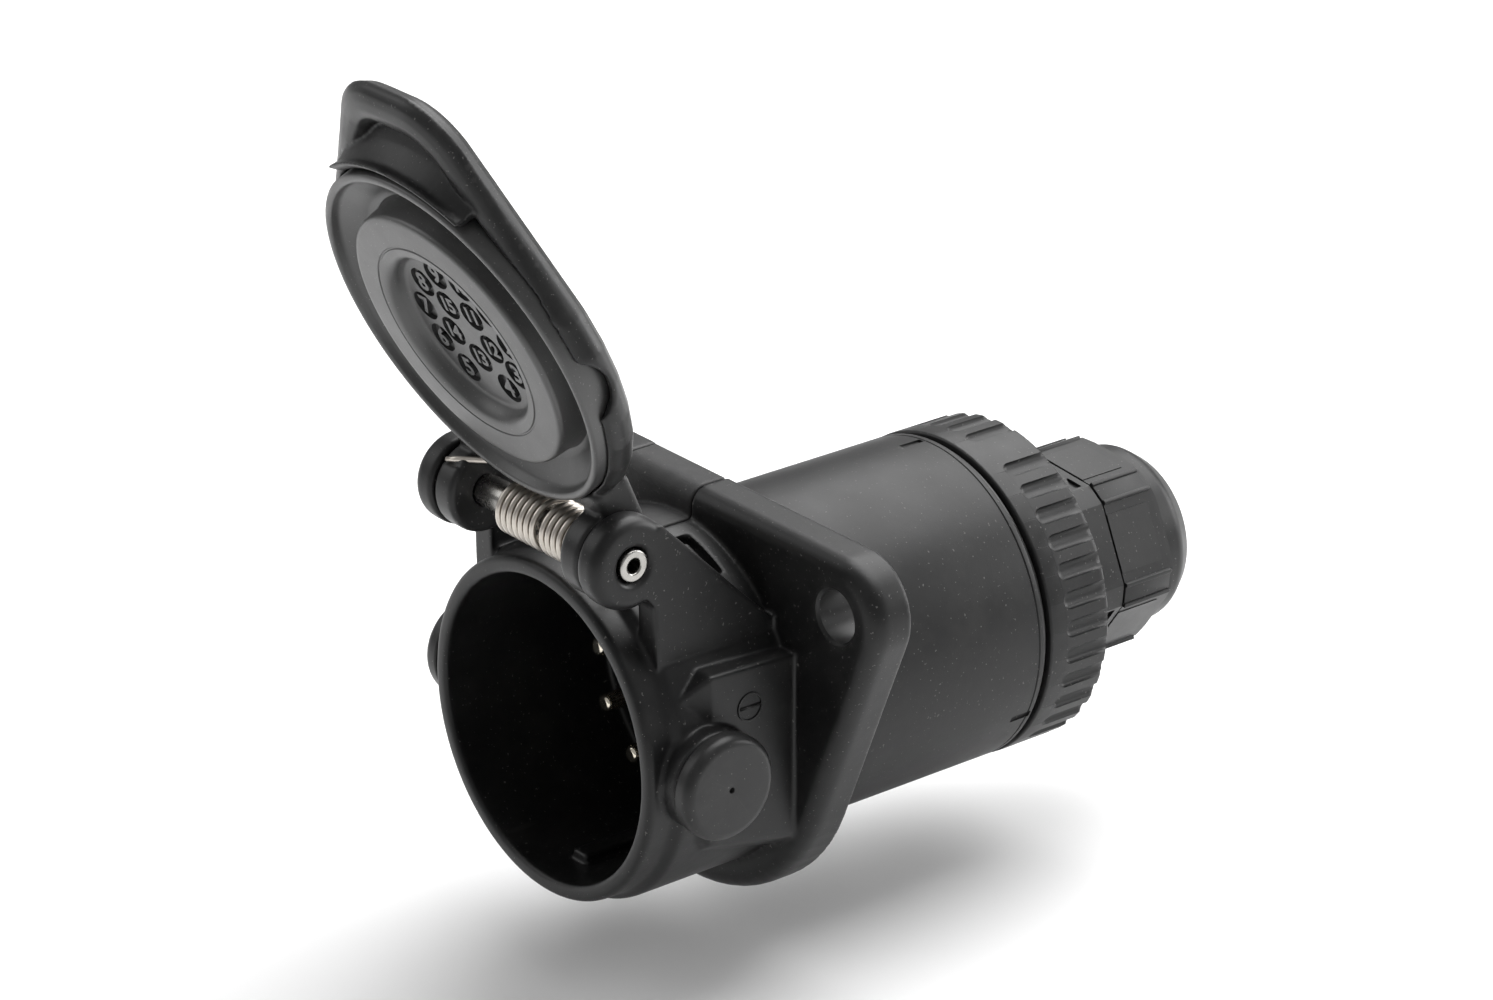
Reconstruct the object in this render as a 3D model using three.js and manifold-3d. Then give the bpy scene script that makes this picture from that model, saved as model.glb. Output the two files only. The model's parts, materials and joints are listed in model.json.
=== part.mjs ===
// Fifteen-contact trailer wiring socket: a panel-mounted plastic socket with a hinged lid, a closed rear barrel and
// a cable gland. Millimetres. +X right, +Y from the mouth to the gland, +Z up. The origin is on the socket's axis,
// at the back face of the fixing flange.
import * as THREE from "three";
import { mergeVertices } from "three/addons/utils/BufferGeometryUtils.js";
import Module from "manifold-3d";

// ---- driving dimensions -------------------------------------------------------------------------------------

const gap = 0.3; // between pieces that touch
const roundSides = 48; // facets of the large round pieces
const smallSides = 10; // facets of contacts and their bores
const bossSides = 24; // facets of bosses, ears and the gland
const outlineSegments = 8; // facets of each half arc of an outline

// mouth and collar of the socket
const mouthRadius = 27;
const collarWall = 3;
const collarLength = 30; // from the rim to the flange's front face
const rearwardThickening = 1.3; // the tube behind the collar's lip is this much larger in radius
const lipLength = 5; // length of the slimmer lip at the rim
const rimRounding = 1;
const keyWidth = 4;
const keyHeight = 1.8;
const keySetback = 7.7;

// fixing flange
const flangeThickness = 8;
const flangeTop = 36.5;
const flangeCornerRadius = 10;
const flangeRounding = 2.5;
const flangeSkirt = 7; // the flange's lower arc stands this far outside the collar
const fixingHalfSpacing = 40.3;
const fixingHoleRadius = 4.5;

// locking piece let into the flange's top
const lockWidth = 18.8;
const lockRightEdge = 2.4;
const lockTongue = 9; // reach of its tongue along the tube's top
const lockTongueThickness = 2;

// contact insert, its seal and the contacts
const spigotLength = 14; // the housing's tail behind the flange
const spigotWall = 2.2;
const stopWidth = 1.6; // shoulder that the insert rests against
const stopHeight = 1.5;
const insertSetback = 36; // from the rim to the insert's front face
const insertThickness = 8.5;
const sealThickness = 2.5;
const outerContacts = 10;
const innerContacts = 5;
const outerContactCircle = 16.4;
const innerContactCircle = 7.5;
const firstContactAngle = -7.5;
const pinRadius = 1.7;
const pinProjection = 12;
const terminalRadius = 2.6;
const terminalLength = 13;
const wireBoreRadius = 1.5;
const screwRadius = 1.1;

// hinge
const hingeRise = 8.3; // hinge axis above the collar
const hingeSetback = 1; // hinge axis behind the rim
const earOuterHalf = 25;
const earThickness = 5;
const earRadius = 8;
const knuckleRadius = 7.6;
const knuckleWidth = 5;
const pinTubeRadius = 2.75;
const pinTubeBore = 1.3;
const hingeRunning = 0.08; // radial clearance of the hinge pin in the lid's knuckles
const springWire = 1.1;
const springRadius = 4.4;
const springTurns = 14;
const springLength = 21;
const springShift = 3.2; // the spring sits this far to the right of the middle

// lid and gasket, measured from the hinge axis with the lid shut
const lidSideWall = 1.6; // the lid's wall round the gasket
const lidTipRadius = 10.5; // corners of the grip at the tip
const lidTipHalfSpacing = 5.5; // their centres stand this far off the middle
const lidGripReach = 11.4; // the grip stands this far beyond the lid's round part
const lidRounding = 2;
const lidDepth = 6.4;
const lidWall = 3;
const lidBack = 2.2;
const lidRimSetback = 0.5; // the lid's rim stands this far before the mouth's rim
const lidOpenAngle = 156.5;
const scallopRadius = 6.5; // notches in the lid's rim that clear the side caps
const scallopRise = 3;
const hookHeight = 5.4;
const hookThickness = 2.2;
const hookWidth = 33;
const gasketLip = 1.6; // wall of the lip that closes round the outside of the collar
const gasketLipOverlap = 1.4; // the lip reaches this far behind the mouth's rim
const gasketDiscRadius = 24;
const gasketRecessRadius = 15;
const gasketRecessDepth = 2;
const gasketValley = 2; // depth of the groove round the raised disc
const gasketDiscEntry = 1.8; // the raised disc reaches this far into the mouth

// side housings and their caps
const sideStand = 0.3; // the side housings' flat faces stand this far outside the collar
const sideTop = 17.8;
const sideTopFall = 1.5; // the ledge on top falls by this much towards the flange
const sideBottom = -12.5;
const sideBottomFall = 5; // the underside falls by this much towards the flange
const sideSetback = 5.3;
const capRadius = 9.2;
const capThickness = 3.6;
const capSetback = 11; // from the rim to the cap's axis
const capCollarRight = 3.2; // the right cap stands on a collar this high
const capCollarLeft = 1.8; // and the left one on a lower collar
const capStubRadius = 5;
const capStubLength = 2.6;

// rear barrel, union ring, rear cap and gland
const barrelRadius = 29.35;
const barrelWall = 3;
const barrelLength = 48.2;
const barrelSeat = 0.8; // depth of the groove in the flange's back that locates the barrel
const barrelTail = 9; // thinner tail under the union ring
const barrelTailStep = 2.9;
const ringRadius = 29.5;
const ringSetback = 1.3; // groove between the barrel and the ring
const ringLength = 14;
const ringLip = 2.6;
const ringFlutes = 36; // places round the ring; one is left plain
const plainFlute = 7;
const firstFluteAngle = 4.5;
const fluteDepth = 0.9;
const fluteHalfWidth = 1.5;
const fluteSetback = 3.5;
const ringChamfer = 1;
const capNeckStep = 1.2; // the rear cap's round neck stands this far outside the hexagon's corners
const capRoomRadius = 17.5; // room for the cable's cores inside the rear cap
const capRoomLength = 3;
const hexRadius = 19.7; // across corners, halved
const hexStart = -5; // angle of the first corner
const rearCapEnd = 76.4;
const glandThreadRadius = 14.4;
const glandThreadLength = 8;
const glandThreadWall = 1.4;
const nutHexLength = 12;
const nutEnd = 97.6;
const nutCollarRadius = 16.4;
const nutDomeLength = 5; // rounded end of the nut
const cableRadius = 6.5;
const sealRadius = 10.6;
const glandSealLength = 8;
const clawWall = 1.6;
const clawSlits = 8;
const clawSlitWidth = 1.2;

// ---- values that follow from them ---------------------------------------------------------------------------

const collarRadius = mouthRadius + collarWall;
const sideReach = collarRadius + sideStand;
const tubeRadius = collarRadius + rearwardThickening;
const rimY = -(collarLength + flangeThickness);
const flangeFrontY = -flangeThickness;
const flangeLowerRadius = collarRadius + flangeSkirt;
const hingeY = rimY + hingeSetback;
const hingeZ = collarRadius + hingeRise;
const earInnerHalf = earOuterHalf - earThickness;
const fixingZ = flangeTop - flangeCornerRadius;
const barrelBore = barrelRadius - barrelWall;
const spigotRadius = barrelBore - gap;
const spigotBore = spigotRadius - spigotWall;
const insertFrontY = rimY + insertSetback;
const insertBackY = insertFrontY + insertThickness;
const sealBackY = insertBackY + gap + sealThickness;
const insertRadius = spigotBore - gap;
const capY = rimY + capSetback;
const gasketRadius = collarRadius + gap + gasketLip;
const lidRadius = gasketRadius + gap + lidSideWall;
const lidTipReach = hingeZ + lidRadius + lidGripReach; // from the hinge axis to the tip
const tailRadius = barrelRadius - barrelTailStep;
const ringStartY = barrelLength + ringSetback;
const ringEndY = ringStartY + ringLength;
const tailEndY = barrelLength + barrelTail;
const ringBore = tailRadius + gap;
const capFlangeY = tailEndY + gap;
const capNeckRadius = hexRadius + capNeckStep;
const ringLipBore = capNeckRadius + gap;
const threadEndY = rearCapEnd + glandThreadLength;
const nutStartY = rearCapEnd + gap;
const nutHexEndY = nutStartY + nutHexLength;
const clawRadius = glandThreadRadius - glandThreadWall;
const sealStartY = threadEndY - glandSealLength;

// ---- helpers ------------------------------------------------------------------------------------------------

const wasm = await Module();
wasm.setup();
const degrees = THREE.MathUtils.degToRad;

// A closed geometry as a solid that can be joined and cut.
function solid(geometry) {
  const bare = geometry.clone();
  bare.deleteAttribute("normal");
  bare.deleteAttribute("uv");
  const merged = mergeVertices(bare, 1e-4);
  const triVerts = new Uint32Array(merged.index.array);
  const make = () =>
    new wasm.Manifold(
      new wasm.Mesh({ numProp: 3, vertProperties: merged.attributes.position.array, triVerts }),
    );
  const made = make();
  if (made.volume() > 0) return made;
  for (let i = 0; i < triVerts.length; i += 3) {
    [triVerts[i + 1], triVerts[i + 2]] = [triVerts[i + 2], triVerts[i + 1]];
  }
  return make();
}

const join = (first, ...rest) => rest.reduce((all, next) => all.add(next), first);
const cut = (first, ...rest) => rest.reduce((all, next) => all.subtract(next), first);

function geometryOf(made) {
  const mesh = made.getMesh();
  return new THREE.BufferGeometry()
    .setAttribute("position", new THREE.BufferAttribute(mesh.vertProperties, 3))
    .setIndex(new THREE.BufferAttribute(mesh.triVerts, 1));
}

// A solid turned about the Y axis from [radius, y] corners. A profile off the axis closes on itself.
function turned(profile, sides = roundSides) {
  const points = profile.map(([r, y]) => new THREE.Vector2(r, y));
  const touchesAxis = profile.some(([r]) => r === 0);
  if (!touchesAxis) points.push(points[0].clone());
  return solid(new THREE.LatheGeometry(points, sides));
}

// A round bar or tube along Y.
const bar = (radius, from, to, sides = roundSides) =>
  turned([[0, from], [radius, from], [radius, to], [0, to]], sides);
const tube = (bore, radius, from, to, sides = roundSides) =>
  turned([[bore, from], [radius, from], [radius, to], [bore, to]], sides);

// A round bar along X, between two values of x.
function barX(radius, from, to, y, z, sides = smallSides) {
  const shape = new THREE.CylinderGeometry(radius, radius, to - from, sides);
  shape.rotateZ(Math.PI / 2);
  shape.translate((from + to) / 2, y, z);
  return solid(shape);
}

function block(x0, x1, y0, y1, z0, z1) {
  const shape = new THREE.BoxGeometry(x1 - x0, y1 - y0, z1 - z0);
  shape.translate((x0 + x1) / 2, (y0 + y1) / 2, (z0 + z1) / 2);
  return solid(shape);
}

// An outline in X and Z, as a plate between two values of y. Its front or back edge can be rounded.
function plate(outline, from, to, rounding = 0, segments = 1) {
  const options = { depth: to - from - 2 * rounding, curveSegments: outlineSegments, bevelEnabled: rounding > 0 };
  Object.assign(options, { bevelThickness: rounding, bevelSize: rounding, bevelOffset: -rounding });
  options.bevelSegments = segments;
  const shape = new THREE.ExtrudeGeometry(outline, options);
  shape.rotateX(Math.PI / 2);
  shape.translate(0, to - rounding, 0);
  return solid(shape);
}

// An outline in Y and Z, as a wall between two values of x.
function wall(outline, from, to) {
  const shape = new THREE.ExtrudeGeometry(outline, { depth: to - from, curveSegments: outlineSegments, bevelEnabled: false });
  const yAxis = new THREE.Vector3(0, 1, 0);
  const zAxis = new THREE.Vector3(0, 0, 1);
  const xAxis = new THREE.Vector3(1, 0, 0);
  shape.applyMatrix4(new THREE.Matrix4().makeBasis(yAxis, zAxis, xAxis));
  shape.translate(from, 0, 0);
  return solid(shape);
}

// The outline that a belt stretched round discs would take. Each disc is [x, z, radius], anticlockwise.
function beltOutline(discs) {
  const shape = new THREE.Shape();
  const tangent = discs.map(([x, z, radius], i) => {
    const [nextX, nextZ, nextRadius] = discs[(i + 1) % discs.length];
    const run = Math.hypot(nextX - x, nextZ - z);
    return Math.atan2(nextZ - z, nextX - x) - Math.acos((radius - nextRadius) / run);
  });
  discs.forEach(([x, z, radius], i) => {
    const before = tangent[(i + discs.length - 1) % discs.length];
    shape.absarc(x, z, radius, before, tangent[i], false);
  });
  return shape;
}

const polygon = (points) => new THREE.Shape(points.map(([a, b]) => new THREE.Vector2(a, b)));

function moved(made, x, y, z) {
  return made.translate([x, y, z]);
}

const finishes = {
  plastic: new THREE.MeshStandardMaterial({ color: 0x2b2b2d, roughness: 0.55, metalness: 0 }),
  insert: new THREE.MeshStandardMaterial({ color: 0x222224, roughness: 0.6, metalness: 0 }),
  rubber: new THREE.MeshStandardMaterial({ color: 0x4a4a4b, roughness: 0.7, metalness: 0 }),
  seal: new THREE.MeshStandardMaterial({ color: 0x1c1c1d, roughness: 0.8, metalness: 0 }),
  steel: new THREE.MeshStandardMaterial({ color: 0xc8c6c2, roughness: 0.28, metalness: 1 }),
  brass: new THREE.MeshStandardMaterial({ color: 0xcfc7b0, roughness: 0.3, metalness: 1 }),
};

const part = new THREE.Group();

function add(name, made, finish, parent = part) {
  const mesh = new THREE.Mesh(geometryOf(made), finish);
  mesh.name = name;
  parent.add(mesh);
  return mesh;
}

// ---- socket housing -----------------------------------------------------------------------------------------

const flangeOutline = beltOutline([
  [0, 0, flangeLowerRadius],
  [fixingHalfSpacing, fixingZ, flangeCornerRadius],
  [-fixingHalfSpacing, fixingZ, flangeCornerRadius],
]);

function flange() {
  const behind = 2 * flangeRounding;
  const rounded = plate(flangeOutline, flangeFrontY, behind, flangeRounding, 2);
  const wide = 2 * (fixingHalfSpacing + flangeCornerRadius);
  return cut(rounded, block(-wide, wide, 0, 2 * behind, -wide, wide));
}

// Web that carries one hinge ear, sloping from the ear's boss down to the flange.
function earWeb(side) {
  const footY = flangeFrontY + gap;
  const footZ = hingeZ + earRadius * Math.SQRT2 - (footY - hingeY);
  const shoulder = earRadius * Math.SQRT1_2;
  const outline = polygon([
    [hingeY + shoulder, hingeZ + shoulder],
    [hingeY - shoulder / 2, hingeZ],
    [rimY + lipLength, hingeZ - earRadius],
    [rimY + lipLength, 0],
    [footY, 0],
    [footY, footZ],
  ]);
  const inner = side * earInnerHalf;
  const outer = side * earOuterHalf;
  const from = Math.min(inner, outer);
  const to = Math.max(inner, outer);
  return join(wall(outline, from, to), barX(earRadius, from, to, hingeY, hingeZ, 32));
}

function sideHousing(side) {
  const outline = polygon([
    [rimY + sideSetback, sideTop],
    [rimY + sideSetback, sideBottom],
    [flangeFrontY + gap, sideBottom - sideBottomFall],
    [flangeFrontY + gap, sideTop - sideTopFall],
  ]);
  const ends = [side * (mouthRadius - collarWall), side * sideReach];
  const box = wall(outline, Math.min(...ends), Math.max(...ends));
  const bossEnds = [side * (mouthRadius + 1.5), side * capBack(side)];
  const boss = barX(capRadius - 0.4, Math.min(...bossEnds), Math.max(...bossEnds), capY, 0, bossSides);
  return join(box, boss);
}

// How far out a side's collar ends and its cap begins.
const capBack = (side) => sideReach + (side > 0 ? capCollarRight : capCollarLeft);

// What trims the tube's two sides behind the lip, so that they stay inside the side housings' flat faces.
const sideTrim = (side) => {
  const ends = [side * (sideReach - gap), side * 2 * sideReach];
  return block(
    Math.min(...ends), Math.max(...ends), rimY + lipLength - 1, flangeFrontY + gap, -tubeRadius, tubeRadius,
  );
};

const socketCavity = turned([
  [0, rimY - 1],
  [mouthRadius + rimRounding, rimY - 1],
  [mouthRadius + rimRounding, rimY],
  [mouthRadius, rimY + rimRounding],
  [mouthRadius, insertFrontY - stopWidth - gap],
  [spigotBore - stopHeight, insertFrontY - stopWidth - gap],
  [spigotBore - stopHeight, insertFrontY - gap],
  [spigotBore, insertFrontY - gap],
  [spigotBore, spigotLength + 1],
  [0, spigotLength + 1],
]);

const lockLeftEdge = lockRightEdge - lockWidth;
const lockTongueY = flangeFrontY - lockTongue;
const lockSeat = tubeRadius - lockTongueThickness;

// The locking piece: a block in the flange's top, with a tongue that lies flush in the top of the tube.
function lockShape(clearance, backY, height) {
  const left = lockLeftEdge - clearance;
  const right = lockRightEdge + clearance;
  const upper = block(left, right, flangeFrontY - clearance, backY, tubeRadius - 1, height);
  const tongue = block(left, right, lockTongueY - clearance, backY, lockSeat - 4, tubeRadius + clearance);
  return cut(join(upper, tongue), bar(lockSeat - clearance, lockTongueY - 2, backY + 1));
}

const lockSlot = lockShape(gap, 1, flangeTop + 1);

function socketHousing() {
  const lip = turned([
    [0, rimY],
    [collarRadius - rimRounding, rimY],
    [collarRadius, rimY + rimRounding],
    [collarRadius, flangeFrontY + 1],
    [0, flangeFrontY + 1],
  ]);
  const rearTube = cut(bar(tubeRadius, rimY + lipLength, flangeFrontY + 1), sideTrim(1), sideTrim(-1));
  const body = join(
    lip,
    rearTube,
    flange(),
    bar(spigotRadius, -1, spigotLength),
    earWeb(1),
    earWeb(-1),
    sideHousing(1),
    sideHousing(-1),
  );
  const keyFloor = insertFrontY - stopWidth - gap;
  const key = block(
    -keyWidth / 2, keyWidth / 2, rimY + keySetback, keyFloor, -mouthRadius - 1, keyHeight - mouthRadius,
  );
  const holes = [-1, 1].map((side) =>
    moved(bar(fixingHoleRadius, flangeFrontY - 1, 1, 32), side * fixingHalfSpacing, 0, fixingZ),
  );
  const pinBore = barX(pinTubeRadius + gap, -earOuterHalf - 1, earOuterHalf + 1, hingeY, hingeZ, 24);
  const stubBores = [-1, 1].map((side) => {
    const ends = [side * (capBack(side) - capStubLength - gap), side * (capBack(side) + 1)];
    return barX(capStubRadius + gap, Math.min(...ends), Math.max(...ends), capY, 0, bossSides);
  });
  const seat = tube(spigotRadius, barrelRadius + gap, -barrelSeat, spigotLength + 1);
  const hollowed = cut(body, socketCavity, ...holes, pinBore, ...stubBores, lockSlot, seat);
  return join(hollowed, key);
}

add("socket_housing", socketHousing(), finishes.plastic);

const lockStock = join(flange(), bar(tubeRadius, lockTongueY, 0));
const lockBlock = cut(lockShape(0, -gap, flangeTop + 1), bar(barrelRadius + gap, -barrelSeat - gap, 1));
add("flange_lock", lockBlock.intersect(lockStock), finishes.plastic);

for (const [name, side] of [["side_cap_right", 1], ["side_cap_left", -1]]) {
  const faceFrom = side * (capBack(side) + gap);
  const faceTo = side * (capBack(side) + gap + capThickness);
  const stubTo = side * (capBack(side) - capStubLength);
  const face = barX(capRadius, Math.min(faceFrom, faceTo), Math.max(faceFrom, faceTo), capY, 0, 32);
  const middle = (faceFrom + faceTo) / 2;
  const stub = barX(capStubRadius, Math.min(stubTo, middle), Math.max(stubTo, middle), capY, 0, bossSides);
  add(name, join(face, stub), finishes.plastic);
}

// ---- contact insert, seal and contacts ----------------------------------------------------------------------

// Where each contact stands, as [x, z]: the outer ring first, then the inner one.
function contactPlaces() {
  const ring = (count, radius, start) =>
    Array.from({ length: count }, (_, i) => {
      const angle = degrees(start + (i * 360) / count);
      return [radius * Math.cos(angle), radius * Math.sin(angle)];
    });
  return [
    ...ring(outerContacts, outerContactCircle, firstContactAngle),
    ...ring(innerContacts, innerContactCircle, firstContactAngle + 180 / outerContacts),
  ];
}

const contacts = contactPlaces();
const holesFor = (radius, from, to) =>
  contacts.map(([x, z]) => moved(bar(radius, from, to, smallSides), x, 0, z));

const insertDisc = bar(insertRadius, insertFrontY, insertBackY);
add(
  "contact_insert",
  cut(insertDisc, ...holesFor(pinRadius + gap, insertFrontY - 1, insertBackY + 1)),
  finishes.insert,
);

const sealDisc = bar(insertRadius, insertBackY + gap, sealBackY);
add("insert_seal", cut(sealDisc, ...holesFor(pinRadius + gap, insertBackY, sealBackY + 1)), finishes.seal);

const terminalStartY = sealBackY + gap;
const terminalEndY = terminalStartY + terminalLength;
const screwY = terminalEndY - 4;
contacts.forEach(([x, z], i) => {
  const number = String(i + 1).padStart(2, "0");
  const tipY = insertFrontY - pinProjection;
  const body = turned(
    [
      [0, tipY],
      [pinRadius * 0.55, tipY],
      [pinRadius, tipY + 1.4],
      [pinRadius, terminalStartY],
      [terminalRadius, terminalStartY],
      [terminalRadius, terminalEndY],
      [0, terminalEndY],
    ],
    smallSides,
  );
  const wireBore = bar(wireBoreRadius, screwY - 4, terminalEndY + 1, 12);
  const screwHole = new THREE.CylinderGeometry(screwRadius + gap, screwRadius + gap, 2 * terminalRadius, 12);
  screwHole.rotateX(Math.PI / 2);
  screwHole.translate(0, screwY, terminalRadius + wireBoreRadius / 2);
  add("contact_" + number, moved(cut(body, wireBore, solid(screwHole)), x, 0, z), finishes.brass);

  const screwFoot = wireBoreRadius / 2;
  const screwLength = terminalRadius + 0.4 - screwFoot;
  const shank = new THREE.CylinderGeometry(screwRadius, screwRadius, screwLength, 12);
  shank.rotateX(Math.PI / 2);
  shank.translate(0, screwY, screwFoot + screwLength / 2);
  const slotDepth = 0.5;
  const top = terminalRadius + 0.4;
  const slot = block(-2, 2, screwY - 0.2, screwY + 0.2, top - slotDepth, top + 1);
  add("terminal_screw_" + number, moved(cut(solid(shank), slot), x, 0, z), finishes.steel);
});

// ---- hinge pin and torsion spring ---------------------------------------------------------------------------

const pinBody = barX(pinTubeRadius, -earOuterHalf, earOuterHalf, hingeY, hingeZ, 24);
const pinHole = barX(pinTubeBore, -earOuterHalf - 1, earOuterHalf + 1, hingeY, hingeZ, 12);
add("hinge_pin", cut(pinBody, pinHole), finishes.steel);

class Helix extends THREE.Curve {
  getPoint(t) {
    const angle = t * springTurns * 2 * Math.PI;
    const along = (t - 0.5) * (springLength - springWire);
    return new THREE.Vector3(along, springRadius * Math.cos(angle), springRadius * Math.sin(angle));
  }
}

function spring() {
  const section = new THREE.Shape();
  section.absarc(0, 0, springWire / 2, 0, 2 * Math.PI, false);
  const options = { extrudePath: new Helix(), steps: springTurns * 8, curveSegments: 3, bevelEnabled: false };
  return solid(new THREE.ExtrudeGeometry(section, options));
}

add("torsion_spring", moved(spring(), springShift, hingeY, hingeZ), finishes.steel);

// ---- lid and gasket, built shut about the hinge axis and then swung open -------------------------------------

const lid = new THREE.Group();
lid.position.set(0, hingeY, hingeZ);
lid.rotation.x = -degrees(lidOpenAngle);
part.add(lid);

const lidFrontY = -hingeSetback - lidRimSetback;
const lidBackY = lidFrontY - lidDepth;
const lidFloorY = lidBackY + lidBack;
const lidTipZ = lidTipRadius - lidTipReach;

const lidOutline = (inset) =>
  beltOutline([
    [-lidTipHalfSpacing, lidTipZ, lidTipRadius - inset],
    [lidTipHalfSpacing, lidTipZ, lidTipRadius - inset],
    [0, -hingeZ, lidRadius - inset],
  ]);

function lidShell() {
  const bowl = plate(lidOutline(0), lidBackY, lidFrontY + 2 * lidRounding, lidRounding, 2);
  const trimmed = cut(bowl, block(-99, 99, lidFrontY, lidFrontY + 20, -199, 99));
  const pocket = join(
    plate(lidOutline(lidWall), lidFloorY, lidFrontY + 1),
    moved(bar(gasketRadius + gap, lidFloorY, knuckleRadius), 0, 0, -hingeZ),
  );
  const hookZ = -(hingeZ + gasketRadius + gap);
  const hook = block(
    -hookWidth / 2, hookWidth / 2, lidFloorY - 1, lidFloorY + hookHeight, hookZ - hookThickness, hookZ,
  );
  const knuckleOuter = earInnerHalf - gap;
  const knuckleInner = knuckleOuter - knuckleWidth;
  const knuckles = [-1, 1].map((side) => {
    const ends = [side * knuckleInner, side * knuckleOuter];
    return barX(knuckleRadius, Math.min(...ends), Math.max(...ends), 0, 0, 32);
  });
  const arms = [-1, 1].map((side) => {
    const ends = [side * knuckleInner, side * knuckleOuter];
    return block(Math.min(...ends), Math.max(...ends), lidBackY, 0, -hingeRise - 2, 0);
  });
  const springRoom = barX(springRadius + 2, -knuckleInner, knuckleInner, 0, 0, 24);
  const earRoom = [-1, 1].map((side) => {
    const ends = [side * (earInnerHalf - gap), side * 2 * earOuterHalf];
    return barX(earRadius + 2 * gap, Math.min(...ends), Math.max(...ends), 0, 0, 32);
  });
  const capRoom = [-1, 1].map((side) => {
    const ends = [side * (collarRadius - 2), side * 2 * lidRadius];
    return barX(scallopRadius, Math.min(...ends), Math.max(...ends), lidFrontY + scallopRise, -hingeZ);
  });
  const shell = join(cut(join(trimmed, ...arms), pocket), hook);
  const cleared = cut(shell, ...earRoom, ...capRoom);
  const pinBore = barX(pinTubeRadius + hingeRunning, -earInnerHalf, earInnerHalf, 0, 0, 24);
  return cut(join(cleared, ...knuckles), springRoom, pinBore);
}

add("lid_shell", lidShell(), finishes.plastic, lid);

function gasket() {
  const baseY = lidFloorY + gap;
  const seatY = -hingeSetback - gap;
  const lipY = seatY + gap + gasketLipOverlap;
  const discY = -hingeSetback + gasketDiscEntry;
  const profile = [
    [0, baseY],
    [gasketRadius, baseY],
    [gasketRadius, lipY],
    [collarRadius + gap, lipY],
    [collarRadius + gap, seatY],
    [mouthRadius, seatY],
    [gasketDiscRadius + 1, seatY - gasketValley],
    [gasketDiscRadius, seatY - gasketValley],
    [gasketDiscRadius, discY],
    [gasketRecessRadius + 1, discY],
    [gasketRecessRadius, discY - gasketRecessDepth],
    [0, discY - gasketRecessDepth],
  ];
  const disc = moved(turned(profile), 0, 0, -hingeZ);
  const springRoom = barX(springRadius + 2 + gap, -earInnerHalf, earInnerHalf, 0, 0, bossSides);
  return cut(disc, springRoom);
}

add("lid_gasket", gasket(), finishes.rubber, lid);

// ---- rear barrel, union ring and rear cap --------------------------------------------------------------------

const barrel = turned([
  [barrelBore, gap - barrelSeat],
  [barrelRadius, gap - barrelSeat],
  [barrelRadius, barrelLength],
  [tailRadius, barrelLength],
  [tailRadius, tailEndY],
  [tailRadius - barrelWall, tailEndY],
  [tailRadius - barrelWall, barrelLength - barrelWall],
  [barrelBore, barrelLength - barrelWall],
]);
add("rear_barrel", barrel, finishes.plastic);

const sealRingStart = barrelLength + gap;
add(
  "barrel_seal_ring",
  tube(tailRadius + gap, barrelRadius - 0.8, sealRingStart, ringStartY - gap),
  finishes.seal,
);

function unionRing() {
  const sleeve = turned([
    [ringBore, ringStartY],
    [ringRadius, ringStartY],
    [ringRadius, ringEndY - ringChamfer],
    [ringRadius - ringChamfer, ringEndY],
    [ringLipBore, ringEndY],
    [ringLipBore, ringEndY - ringLip],
    [ringBore, ringEndY - ringLip],
  ]);
  const places = Array.from({ length: ringFlutes }, (_, i) => i).filter((i) => i !== plainFlute);
  const flutes = places.map((i) => {
    const angle = degrees(firstFluteAngle + (i * 360) / ringFlutes);
    const groove = bar(fluteHalfWidth, ringStartY + fluteSetback, ringEndY + 1, 6);
    const reach = ringRadius + fluteHalfWidth - fluteDepth;
    return moved(groove, reach * Math.cos(angle), 0, reach * Math.sin(angle));
  });
  return cut(sleeve, ...flutes);
}

add("union_ring", unionRing(), finishes.plastic);

// A hexagonal bar along Y whose first corner is at hexStart.
const hexBar = (radius, from, to) => bar(radius, from, to, 6).rotate([0, -(hexStart - 90), 0]);

function rearCap() {
  const flangeRadius = tailRadius - gap;
  const flangeEndY = ringEndY - ringLip - gap;
  const outer = join(
    bar(flangeRadius, capFlangeY, flangeEndY),
    bar(capNeckRadius, flangeEndY - 1, ringEndY + 0.6),
    hexBar(hexRadius, flangeEndY - 1, rearCapEnd),
    bar(glandThreadRadius, rearCapEnd - 1, threadEndY, 32),
  );
  const room = turned(
    [
      [0, capFlangeY - 1],
      [capRoomRadius, capFlangeY - 1],
      [capRoomRadius, capFlangeY + capRoomLength],
      [clawRadius - clawWall, rearCapEnd - 6],
      [clawRadius - clawWall, sealStartY - gap],
      [clawRadius, sealStartY - gap],
      [clawRadius, threadEndY + 1],
      [0, threadEndY + 1],
    ],
    32,
  );
  return cut(outer, room);
}

add("rear_cap", rearCap(), finishes.plastic);

// ---- cable gland --------------------------------------------------------------------------------------------

const clawBore = sealRadius + gap;
const claw = tube(clawBore, clawRadius - gap, sealStartY, threadEndY + 1.6, 32);
const slits = Array.from({ length: clawSlits }, (_, i) => {
  const half = clawSlitWidth / 2;
  const slit = block(-half, half, sealStartY + 3, threadEndY + 3, clawBore - 1, clawRadius + 1);
  return slit.rotate([0, (i * 360) / clawSlits, 0]);
});
add("gland_claw", cut(claw, ...slits), finishes.insert);

add("gland_seal", tube(cableRadius, sealRadius, sealStartY, threadEndY + 0.8, 32), finishes.seal);

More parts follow.
